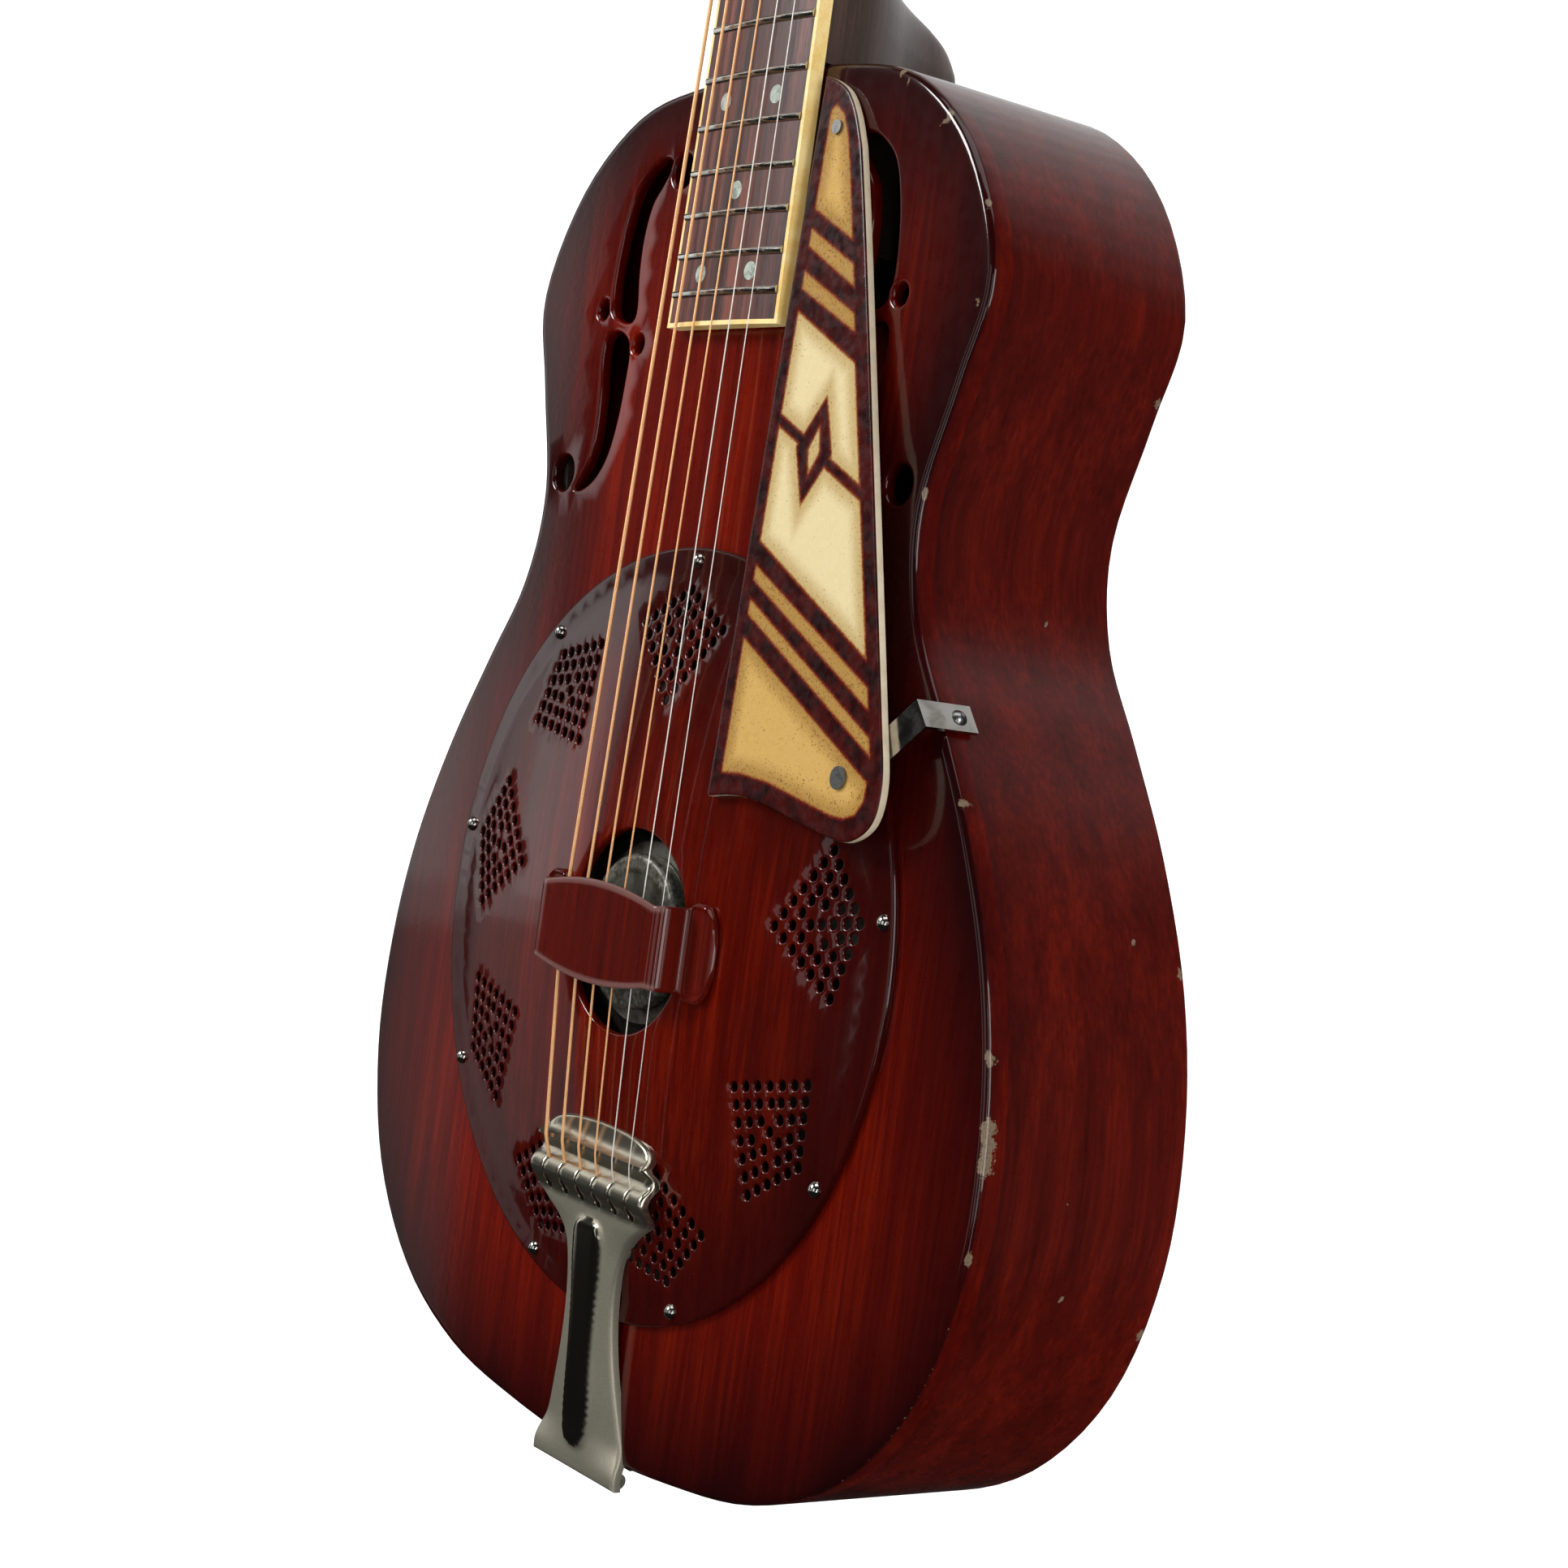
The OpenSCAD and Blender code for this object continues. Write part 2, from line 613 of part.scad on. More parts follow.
// Posts 1 to 3 stand on the bass side and 4 to 6 on the treble side, from the tip down
post_side = function (n) n < 4 ? -1 : 1;
post_row = function (n) n < 4 ? n - 1 : 6 - n;
post_z = function (n) first_post_z + post_row(n) * post_pitch;
module post_places() { for (n = [1:6]) translate([post_side(n) * post_x, 0, post_z(n)]) children(); }

module neck() {
  color([0.16, 0.05, 0.04]) difference() {
    union() {
      in_neck() hull() {
        shaft_slice(nut_z + nut_t + 4, 13);
        shaft_slice(30, 18);
      }
      in_neck() hull() {
        shaft_slice(30, 18);
        shaft_slice(4, 18);
      }
      heel();
      in_head() slab(head_t, head_t) head_outline_2d();
      neck_tongue();
    }
    in_neck() translate([-bar_w / 2, -gap, bar_z0]) cube([bar_w, bar_t, bar_l]);
    in_neck() translate([-40, -20, -20]) cube([80, 20, 400]);
    in_head() translate([-40, -20, 0]) cube([80, 20, 200]);
    in_head() post_places() {
      rotate([-90, 0, 0]) cylinder(r = bushing_r + gap, h = 6 + gap);
      rotate([-90, 0, 0]) cylinder(r = post_r + 0.5, h = 40);
    }
    translate([-50, front_y, heel_z - 90]) cube([100, body_depth, 90]);
    in_head() tuner_plate_screw_places() cylinder(r = 1.15, h = 16, center = true, $fn = 24);
  }
}
module neck_tongue() {
  z0 = board_end_z + binding_t;
  z1 = 8;
  in_neck() intersection() {
    across(-40, 40) polygon([
      [0, z0], [join_h - z0 * tan(neck_angle) - gap, z0], [join_h - z1 * tan(neck_angle) - gap, z1], [0, z1]]);
    slab(5, 6) polygon([
      [-board_half(z0) + 0.6, z0], [board_half(z0) - 0.6, z0], [board_half(z1) - 0.6, z1],
      [-board_half(z1) + 0.6, z1]]);
  }
}
module neck_bar() {
  color(steel_c) in_neck() translate([gap - bar_w / 2, 0, bar_z0 + gap])
    cube([bar_w - 2 * gap, bar_t - 2 * gap, bar_l - 2 * gap]);
}

module crown_solid() {
  translate([0, crown_r - board_t - crown, -100]) cylinder(r = crown_r, h = 600, $fn = 720);
}
module board_2d(trim) {
  polygon([
    [-board_half(board_end_z) + trim, board_end_z + trim], [board_half(board_end_z) - trim, board_end_z + trim],
    [board_half(nut_z) - trim, nut_z], [-board_half(nut_z) + trim, nut_z]]);
}
// Dots: [fret number, pair or single]
dot_list = [[5, 1], [7, 2], [9, 1], [12, 2], [15, 2], [17, 1], [19, 2]];
module dot_places() {
  for (d = dot_list) {
    z = (fret_z(d[0]) + fret_z(d[0] - 1)) / 2;
    for (x = d[1] == 1 ? [0] : [-14, 14]) translate([x, 0, z]) children();
  }
}
module fretboard() {
  color(rosewood_c) in_neck() difference() {
    intersection() {
      slab(0, 10) board_2d(binding_t + gap);
      crown_solid();
    }
    dot_places() bar_y(0, crown_y(14) + 2, 0, dot_r + gap, 6);
  }
}
module fretboard_binding() {
  color(cream_c) in_neck() intersection() {
    slab(0, 10) difference() {
      board_2d(0);
      board_2d(binding_t);
      translate([-50, nut_z]) square([100, 10]);
    }
    crown_solid();
  }
}
module frets() {
  color(nickel_c) in_neck() for (n = [1:fret_count]) {
    sweep = asin((board_half(fret_z(n)) - binding_t - 0.2) / crown_r);
    translate([0, crown_r - board_t - crown, fret_z(n)]) rotate([0, 0, -90 - sweep])
      rotate_extrude(angle = 2 * sweep, $fn = 720) translate([crown_r + gap / 5, 0]) intersection() {
        translate([-0.4, 0]) circle(fret_h + 0.4, $fn = 24);
        translate([0, -2]) square([2, 4]);
      }
  }
}
module fret_dots() {
  color([0.75, 0.8, 0.8]) in_neck() intersection() {
    dot_places() bar_y(0, crown_y(14) + 2 - gap, 0, dot_r, 6);
    crown_solid();
  }
}
module nut() {
  color("ivory") in_neck() difference() {
    slab(0, nut_string_h + 0.4) translate([-nut_w / 2, nut_z + gap]) square([nut_w, nut_t - gap]);
    for (i = [0:5]) {
      x = spread_x(i, nut_spread);
      r = string_r[i] + gap;
      translate([x, -nut_string_h, nut_z - 1]) cylinder(r = r, h = 8, $fn = 24);
      translate([x - r, -nut_string_h - 3, nut_z - 1]) cube([2 * r, 3, 8]);
    }
  }
}
module headstock_veneer() {
  color([0.06, 0.05, 0.05]) in_head() difference() {
    slab(0, veneer_t) difference() {
      head_outline_2d();
      translate([-50, -10]) square([100, 12]);
    }
    post_places() rotate([90, 0, 0]) cylinder(r = bushing_r + gap, h = 10, center = true);
  }
}

// ---- pickguard ----
module in_guard() {
  translate([0, top_y(guard_lift), guard_z0]) rotate([-guard_tilt, 0, 0]) translate([0, 0, -guard_z0])
    children();
}
module guard_2d() {
  top = open_curve([[34.6, 279.6], [41, 277.6], [48, 273.5], [54, 266], [59.5, 255.5]], 4);
  right = open_curve([[59.5, 255.5], [70, 225.4], [94.8, 150.8], [118.6, 79]], 4);
  bottom = open_curve([[118.6, 79], [123, 64], [121.6, 52], [113, 45.6], [102, 45.4], [84, 48.4],
                       [67, 51.6], [52, 52.4], [37.4, 50.6]], 4);
  polygon(concat(top, right, bottom));
}
module pickguard() {
  color(cream_c) in_guard() difference() {
    slab(0, guard_t) guard_2d();
    for (p = [guard_screw_top, guard_screw_low]) bar_y(p.x, 1, p.y, 1.35, 10);
  }
}
// The strap leaves the guard square to the body's edge
strap_angle = -38;
strap_fold = [131.6, 86.1];
strap_lift = 7;
module in_strap() {
  translate([strap_fold.x, top_y(strap_lift), strap_fold.y]) rotate([0, strap_angle, 0]) children();
}
module bracket_screw_place() { in_strap() translate([-1, 13.2, 0]) rotate([0, 90, 0]) children(); }
module pickguard_bracket() {
  color(nickel_c) difference() {
    in_strap() {
      translate([-41, -strap_t, -strap_w / 2]) cube([41, strap_t, strap_w]);
      translate([-strap_t, -strap_t, -strap_w / 2]) cube([strap_t, 20, strap_w]);
    }
    bracket_screw_place() cylinder(r = 1.35, h = 10, center = true, $fn = 24);
    in_guard() bar_y(guard_screw_low.x, 10, guard_screw_low.y, 1.35, 20);
  }
}
module pickguard_screws() {
  color(steel_c) {
    in_guard() {
      bar_y(guard_screw_top.x, 6, guard_screw_top.y, 1.15, 6.5 + guard_t);
      bar_y(guard_screw_top.x, -guard_t - gap, guard_screw_top.y, 2.3, 0.9);
      bar_y(guard_screw_low.x, 3.4, guard_screw_low.y, 1.15, 3.9 + guard_t);
      bar_y(guard_screw_low.x, -guard_t - gap, guard_screw_low.y, 3.5, 0.9);
    }
    bracket_screw_place() {
      translate([0, 0, -10]) cylinder(r = 1.1, h = 11.5, $fn = 24);
      translate([0, 0, 1 + gap]) intersection() {
        cylinder(r = 2.6, h = 2, $fn = 24);
        translate([0, 0, -1.4]) sphere(r = 3, $fn = 24);
      }
    }
  }
}

// ---- tuners ----
module in_tuner(n) { in_head() translate([post_side(n) * post_x, gear_y, post_z(n)]) children(); }
module tuner_plate_2d() {
  difference() {
    translate([-6.5, first_post_z - 12]) square([13, 2 * post_pitch + 34]);
    for (k = [0:2]) translate([0, first_post_z + k * post_pitch]) circle(post_r + run);
  }
}
module tuner_plate_screw_places() {
  for (s = [-1, 1]) for (z = [-9, 20, 20 + post_pitch, 19.5 + 2 * post_pitch])
    translate([s * post_x, head_t, first_post_z + z]) rotate([90, 0, 0]) children();
}
module tuner_plate(side) {
  worm_z = first_post_z + gear_centre;
  color(nickel_c) in_head() difference() {
    union() {
      slab(head_t + tuner_plate_t, tuner_plate_t - gap) translate([side * post_x, 0]) tuner_plate_2d();
      for (k = [0:2]) for (e = [-ear_gap - ear_t, ear_gap])
        translate([side * post_x + e, head_t + tuner_plate_t - gap, worm_z + k * post_pitch - ear_w / 2])
          cube([ear_t, 6.6, ear_w]);
    }
    for (k = [0:2]) translate([side * post_x - 20, gear_y, worm_z + k * post_pitch]) rotate([0, 90, 0])
      cylinder(r = shaft_r + run, h = 40, $fn = 24);
    tuner_plate_screw_places() cylinder(r = 1.15, h = 16, center = true, $fn = 24);
  }
}
module bass_tuner_plate() { tuner_plate(-1); }
module treble_tuner_plate() { tuner_plate(1); }
module tuner_plate_screws() {
  color(nickel_c) in_head() tuner_plate_screw_places() {
    translate([0, 0, -tuner_plate_t - 0.5]) cylinder(r = 1.1, h = 8.5, $fn = 24);
    translate([0, 0, -tuner_plate_t - 1 - gap]) cylinder(r = 2.2, h = 1, $fn = 24);
  }
}
module tuner_bushings() {
  color(nickel_c) in_head() post_places() rotate([90, 0, 0]) difference() {
    union() {
      translate([0, 0, -6]) cylinder(r = bushing_r, h = 6 + veneer_t + gap);
      translate([0, 0, veneer_t + gap]) cylinder(r = 5.6, h = 1.2);
    }
    translate([0, 0, -10]) cylinder(r = post_r + run, h = 20);
  }
}
module tuner_worm(n) {
  side = post_side(n);
  start_turn = 90 - 180 * worm_l / lead;
  color(steel_c) in_tuner(n) translate([0, 0, gear_centre]) {
    translate([-worm_l / 2, 0, 0]) rotate([90, 0, 90])
      linear_extrude(worm_l, twist = -360 * worm_l / lead, slices = 32, $fn = 12) rotate(start_turn)
        translate([thread_h, 0]) circle(worm_r, $fn = 12);
    translate([side > 0 ? -7 : -(button_x - post_x), 0, 0]) rotate([0, 90, 0])
      cylinder(r = shaft_r, h = 7 + button_x - post_x, $fn = 24);
  }
}
module tuner_button(n) {
  side = post_side(n);
  color("ivory") in_tuner(n) translate([side * (button_x - post_x), 0, gear_centre]) rotate([0, 90 * side, 0]) {
    translate([0, 0, gap]) cylinder(r1 = 3, r2 = 4.4, h = 3);
    intersection() {
      translate([-7, -8, 3]) cube([14, 16, 12]);
      translate([0, 0, 9.5]) rotate([90, 0, 0]) cylinder(r = 8.6, h = 6.4, center = true);
    }
  }
}
module tuner_gear(n) {
  steps = gear_teeth * 10;
  color("goldenrod") in_tuner(n) {
    translate([0, gear_t / 2, 0]) rotate([90, 0, 0]) linear_extrude(gear_t) polygon(
      [for (k = [0:steps - 1]) let (a = k * 360 / steps, r = gear_r + tooth_h * cos(gear_teeth * a))
        [r * sin(a), r * cos(a)]]);
    rotate([90, 0, 0]) {
      translate([0, 0, -gear_t / 2 - 1]) cylinder(r = 2.6, h = 2, $fn = 24);
      cylinder(r = 4.6, h = 3.5, $fn = 32);
      cylinder(r = post_r, h = gear_y + 17);
    }
  }
}

// ---- strings ----
// String i, counted from 0 at the bass side, is wound on post i + 1
module guitar_string(i) {
  r = string_r[i];
  n = i + 1;
  side = post_side(n);
  wrap_r = post_r + 0.06 + gap + r;
  ball = [tail_x(i), top_y(roll_h + 0.6), ball_z];
  roll = [tail_x(i), top_y(roll_h + 1.2), roll_z + roll_r + 0.4];
  lip = [tail_x(i) * 1.004, top_y(lip_h + lip_r + r + 0.1), lip_z];
  bridge = [spread_x(i, saddle_spread), top_y(saddle_h), 0];
  tip = from_neck([spread_x(i, nut_spread), -nut_string_h, nut_z + 0.5]);
  tip_end = from_neck([spread_x(i, nut_spread), -nut_string_h, nut_z + nut_t]);
  post = [side * post_x, -wrap_h, post_z(n)];
  start_x = spread_x(i, nut_spread);
  reach = [post.x - start_x, post.z];
  bend = atan2(reach.x, reach.y) - side * asin(wrap_r / norm(reach));
  touch = from_head([post.x - side * wrap_r * cos(bend), post.y, post.z + side * wrap_r * sin(bend)]);
  path = [ball, roll, lip, bridge, tip, tip_end, touch];
  for (k = [0:len(path) - 2]) rod(path[k], path[k + 1], r);
  for (k = [1:len(path) - 2]) translate(path[k]) sphere(r = r + 0.03);
  bar_y(ball.x, ball.y + 1.6, ball.z, 1.9, 3.2);
  in_head() translate(post) rotate([90, 0, 0]) rotate_extrude()
    translate([wrap_r - r - gap, -wrap_turns * 2 * r]) square([2 * (r + gap), (wrap_turns + 0.7) * 2 * r]);
}
module wound_strings() { color("peru") for (i = [0:3]) guitar_string(i); }
module second_string() { color("gainsboro") guitar_string(4); }
module first_string() { color("gainsboro") guitar_string(5); }

// ---- the pieces ----
soundboard();
back_plate();
bass_side();
treble_side();
top_lining();
back_lining();
neck_block();
tail_block();
soundwell();
top_braces();
back_braces();
end_pin();
cone();
biscuit();
saddle();
biscuit_screw();
coverplate();
hand_rest();
coverplate_screws();
tailpiece();
tailpiece_bracket();
tailpiece_pin();
tailpiece_screws();
neck();
neck_bar();
fretboard();
fretboard_binding();
frets();
fret_dots();
nut();
headstock_veneer();
pickguard();
pickguard_bracket();
pickguard_screws();
bass_tuner_plate();
treble_tuner_plate();
tuner_bushings();
tuner_plate_screws();
wound_strings();
second_string();
first_string();
tuner_worm(1);  // tuner_worm_1
tuner_worm(2);  // tuner_worm_2
tuner_worm(3);  // tuner_worm_3
tuner_worm(4);  // tuner_worm_4
tuner_worm(5);  // tuner_worm_5
tuner_worm(6);  // tuner_worm_6
tuner_button(1);  // tuner_button_1
tuner_button(2);  // tuner_button_2
tuner_button(3);  // tuner_button_3
tuner_button(4);  // tuner_button_4
tuner_button(5);  // tuner_button_5
tuner_button(6);  // tuner_button_6
tuner_gear(1);  // tuner_gear_1
tuner_gear(2);  // tuner_gear_2
tuner_gear(3);  // tuner_gear_3
tuner_gear(4);  // tuner_gear_4
tuner_gear(5);  // tuner_gear_5
tuner_gear(6);  // tuner_gear_6
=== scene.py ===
"""Looks of the resonator guitar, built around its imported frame.

Everything is in metres in the frame's axes: +X to the treble side, +Y out of the back, +Z to the headstock.
Shapes are worked out in millimetres as (x, z, height above the soundboard) and turned into the frame by place().
"""

import json
import math

import bmesh
import bpy
import numpy as np
from mathutils import Matrix, Vector
from mathutils.geometry import delaunay_2d_cdt


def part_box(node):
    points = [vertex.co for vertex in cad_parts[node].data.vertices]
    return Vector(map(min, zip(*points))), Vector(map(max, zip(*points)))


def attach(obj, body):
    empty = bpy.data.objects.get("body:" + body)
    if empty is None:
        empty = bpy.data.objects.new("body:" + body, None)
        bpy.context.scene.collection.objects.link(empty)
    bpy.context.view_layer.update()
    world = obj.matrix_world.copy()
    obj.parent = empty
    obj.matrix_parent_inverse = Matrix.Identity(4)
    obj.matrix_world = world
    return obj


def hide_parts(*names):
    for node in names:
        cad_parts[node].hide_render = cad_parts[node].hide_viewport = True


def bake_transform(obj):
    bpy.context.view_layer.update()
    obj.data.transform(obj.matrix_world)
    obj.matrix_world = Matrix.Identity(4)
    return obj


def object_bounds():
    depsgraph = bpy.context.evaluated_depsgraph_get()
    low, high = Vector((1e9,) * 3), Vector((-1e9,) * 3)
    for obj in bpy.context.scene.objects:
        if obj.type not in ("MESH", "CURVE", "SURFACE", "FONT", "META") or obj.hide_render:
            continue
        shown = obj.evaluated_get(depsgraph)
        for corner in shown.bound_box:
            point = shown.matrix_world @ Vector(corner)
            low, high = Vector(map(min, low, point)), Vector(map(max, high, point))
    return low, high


MM = 0.001
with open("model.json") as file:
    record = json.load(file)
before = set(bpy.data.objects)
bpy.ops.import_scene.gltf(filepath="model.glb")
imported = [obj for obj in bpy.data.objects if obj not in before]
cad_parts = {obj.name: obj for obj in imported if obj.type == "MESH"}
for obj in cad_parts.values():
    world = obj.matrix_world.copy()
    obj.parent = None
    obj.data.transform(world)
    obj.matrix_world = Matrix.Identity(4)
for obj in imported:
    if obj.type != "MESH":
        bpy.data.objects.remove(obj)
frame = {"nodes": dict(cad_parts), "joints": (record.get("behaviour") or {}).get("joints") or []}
cad_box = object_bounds()
NODES = frame["nodes"]

# ---- places taken from the frame, in millimetres ----


def box_mm(node):
    low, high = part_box(node)
    return np.array(low) / MM, np.array(high) / MM


FRONT_Y = box_mm("soundboard")[0][1]
TOP_T = box_mm("soundboard")[1][1] - FRONT_Y
COVER_LOW, COVER_HIGH = box_mm("coverplate")
COVER_R = (COVER_HIGH[0] - COVER_LOW[0]) / 2
COVER_Z = (COVER_HIGH[2] + COVER_LOW[2]) / 2
HINGE_Y, HINGE_Z = (v / MM for v in frame["joints"][0]["pos_m"][1:])
NECK_TILT = math.radians(0.7)
HEAD_TILT = math.radians(14)
SCALE = 635.0  # length of a string from nut to saddle
JOIN_Z = SCALE * 2 ** (-14 / 12)  # the 14th fret, where the neck meets the body
NUT_Z = SCALE - JOIN_Z
JOIN_H = 0.8  # how far the neck's own plane stands above the soundboard there


def place(x, z, h):
    """A point x across, z along and h above the soundboard, in the frame."""
    return Vector((x, FRONT_Y - h, z)) * MM


def neck_point(x, y, z):
    """A point in the neck's own millimetres, in the frame."""
    c, s = math.cos(NECK_TILT), math.sin(NECK_TILT)
    return Vector((x, y * c + z * s + FRONT_Y - JOIN_H, -y * s + z * c + JOIN_Z)) * MM


def head_point(x, y, z):
    """A point in the headstock's own millimetres, in the frame."""
    c, s = math.cos(HEAD_TILT), math.sin(HEAD_TILT)
    return neck_point(x, y * c + z * s, -y * s + z * c + NUT_Z + 5)


# ---- outlines ----


def curve_through(points, steps, closed=True):
    """A smooth curve through the points, as an array."""
    p = np.array(points, float)
    n = len(p)
    out = []
    for i in range(n if closed else n - 1):
        pick = (lambda k: p[k % n]) if closed else (lambda k: p[min(max(k, 0), n - 1)])
        a, b, c, d = pick(i - 1), pick(i), pick(i + 1), pick(i + 2)
        for j in range(steps):
            t = j / steps
            square, cube = 2 * a - 5 * b + 4 * c - d, 3 * b - a - 3 * c + d
            out.append(0.5 * (2 * b + (c - a) * t + square * t**2 + cube * t**3))
    if not closed:
        out.append(p[-1])
    return np.array(out)


def circle(x, z, r, n):
    a = np.arange(n) * 2 * math.pi / n
    return np.stack([x + r * np.cos(a), z + r * np.sin(a)], 1)


def area(loop):
    x, z = loop[:, 0], loop[:, 1]
    return 0.5 * np.sum(x * np.roll(z, -1) - np.roll(x, -1) * z)


def inward(loop):
    """Unit normals of a closed loop, to its left."""
    d = np.roll(loop, -1, 0) - np.roll(loop, 1, 0)
    n = np.stack([-d[:, 1], d[:, 0]], 1)
    return n / np.maximum(np.linalg.norm(n, axis=1), 1e-9)[:, None]


def resample(loop, spacing):
    """The loop with its points evenly spaced."""
    ring = np.vstack([loop, loop[:1]])
    run = np.concatenate([[0], np.cumsum(np.linalg.norm(np.diff(ring, axis=0), axis=1))])
    n = max(8, int(round(run[-1] / spacing)))
    at = np.linspace(0, run[-1], n, endpoint=False)
    return np.stack([np.interp(at, run, ring[:, k]) for k in (0, 1)], 1)


def mirror_loop(loop):
    return (loop * [-1, 1])[::-1]


def edge_distance(points, loops):
    """Distance from each point to the nearest edge of the loops."""
    best = np.full(len(points), 1e9)
    for loop in loops:
        a, b = loop, np.roll(loop, -1, 0)
        for i in range(0, len(a), 400):
            p, q = a[i : i + 400][None], b[i : i + 400][None]
            d = q - p
            t = np.clip(((points[:, None] - p) * d).sum(2) / np.maximum((d * d).sum(2), 1e-12), 0, 1)
            gap = np.linalg.norm(points[:, None] - p - t[..., None] * d, axis=2)
            best = np.minimum(best, gap.min(1))
    return best


def inside(points, loops):
    """Whether each point is inside an odd number of the loops."""
    odd = np.zeros(len(points), bool)
    x, z = points[:, 0], points[:, 1]
    for loop in loops:
        for (x0, z0), (x1, z1) in zip(loop, np.roll(loop, -1, 0)):
            if z0 == z1:
                continue
            crosses = (z0 > z) != (z1 > z)
            odd ^= crosses & (x < (x1 - x0) * (z - z0) / (z1 - z0) + x0)
    return odd


def outline_of(node):
    """The outer edge of a flat node's front face, read from its mesh as a counter-clockwise loop."""
    mesh = NODES[node].data
    co = np.array([v.co for v in mesh.vertices]) / MM
    front = co[:, 1].min()
    count = {}
    for poly in mesh.polygons:
        ids = list(poly.vertices)
        if all(abs(co[i][1] - front) < 0.01 for i in ids):
            keys = [tuple(np.round(co[i][[0, 2]], 3)) for i in ids]
            for a, b in zip(keys, keys[1:] + keys[:1]):
                count[frozenset((a, b))] = count.get(frozenset((a, b)), 0) + 1
    links = {}
    for pair, times in count.items():
        if times == 1 and len(pair) == 2:
            a, b = tuple(pair)
            links.setdefault(a, []).append(b)
            links.setdefault(b, []).append(a)
    loops = []
    while links:
        start = next(iter(links))
        loop, at, before = [start], start, None
        while True:
            nexts = [k for k in links[at] if k != before]
            if not nexts or nexts[0] == start:
                break
            before, at = at, nexts[0]
            loop.append(at)
        for k in loop:
            links.pop(k, None)
        loops.append(np.array(loop))
    loops = [l if area(l) > 0 else l[::-1] for l in loops if len(l) > 2]
    return sorted(loops, key=area, reverse=True)


# ---- meshes ----


def add_object(name, data):
    obj = bpy.data.objects.new(name, data)
    bpy.context.scene.collection.objects.link(obj)
    return obj


def points_mm(obj):
    return np.array([v.co for v in obj.data.vertices]) / MM


def make_object(name, verts, faces, material, body="root", replaces=(), slot=None, sharp=35):
    """A piece of the guitar, smooth but for edges sharper than an angle in degrees."""
    mesh = bpy.data.meshes.new(name)
    mesh.from_pydata([tuple(v) for v in verts], [], faces)
    mesh.validate()
    mesh.materials.append(material)
    obj = add_object(name, mesh)
    mesh.shade_smooth()
    mesh.set_sharp_from_angle(angle=math.radians(sharp))
    if body:
        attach(obj, body)
    if replaces:
        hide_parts(*replaces)
    return obj


def stitch(ring_a, ring_b):
    """Quads between two rings of vertex numbers."""
    n = len(ring_a)
    return [(ring_a[i], ring_a[(i + 1) % n], ring_b[(i + 1) % n], ring_b[i]) for i in range(n)]


def fill(loops, spacing):
    """Triangles inside the first loop and outside the others, with evenly spread points between them."""
    outer = loops[0]
    low, high = outer.min(0), outer.max(0)
    rows, columns = np.arange(low[1], high[1], spacing * 0.866), np.arange(low[0], high[0], spacing)
    grid = np.array([(x + (k % 2) * spacing / 2, z) for k, z in enumerate(rows) for x in columns])
    grid = grid[inside(grid, loops)]
    grid = grid[edge_distance(grid, loops) > spacing * 0.55]
    points = np.vstack(loops + [grid])
    edges, start = [], 0
    for loop in loops:
        n = len(loop)
        edges += [(start + i, start + (i + 1) % n) for i in range(n)]
        start += n
    vs, _, faces, orig, _, _ = delaunay_2d_cdt([Vector(p) for p in points], edges, [], 0, 1e-6)
    vs = np.array([(v.x, v.y) for v in vs])
    middles = np.array([vs[list(f)].mean(0) for f in faces])
    keep = inside(middles, loops)
    back = {old: new for new, olds in enumerate(orig) for old in olds}
    faces = [tuple(f) for f, k in zip(faces, keep) if k]
    ccw = [f if area(vs[list(f)]) > 0 else f[::-1] for f in faces]
    rings, start = [], 0
    for loop in loops:
        rings.append([back[start + i] for i in range(len(loop))])
        start += len(loop)
    used = sorted({i for f in ccw for i in f} | {i for r in rings for i in r})
    renumber = {old: new for new, old in enumerate(used)}
    ccw = [tuple(renumber[i] for i in f) for f in ccw]
    rings = [[renumber[i] for i in r] for r in rings]
    return vs[used], ccw, rings


def rounded(r, steps=4):
    """(inset, depth) pairs from the flat face down a rounded edge."""
    angles = [math.pi / 2 * k / steps for k in range(steps + 1)]
    return [(r * (1 - math.sin(a)), r * (1 - math.cos(a))) for a in angles]


def plate(loops, profiles, front, back, spacing, to_frame=place):
    """Vertices and faces of a closed plate.

    loops are its outer edge and holes, seen from the front. A profile runs down one loop's edge as (inset, depth)
    pairs, from the front face to (inset, None) on the back face, with the same inset at both ends.
    """
    turned = [l if (area(l) > 0) == (k == 0) else l[::-1] for k, l in enumerate(loops)]
    normals = [inward(l) for l in turned]
    inset = [l + n * p[0][0] for l, n, p in zip(turned, normals, profiles)]
    flat, faces, rings = fill(inset, spacing)
    verts = [to_frame(x, z, front(x, z)) for x, z in flat]
    n_front = len(verts)
    verts += [to_frame(x, z, back(x, z)) for x, z in flat]
    out = faces + [tuple(i + n_front for i in f[::-1]) for f in faces]
    for loop, normal, profile, ring in zip(turned, normals, profiles, rings):
        last = ring
        for step, depth in profile[1:-1]:
            start = len(verts)
            for (x, z), n in zip(loop, normal):
                px, pz = x + n[0] * step, z + n[1] * step
                verts.append(to_frame(px, pz, front(px, pz) - depth))
            here = list(range(start, len(verts)))
            out += stitch(here, last)
            last = here
        out += stitch([i + n_front for i in ring], last)
    return verts, out


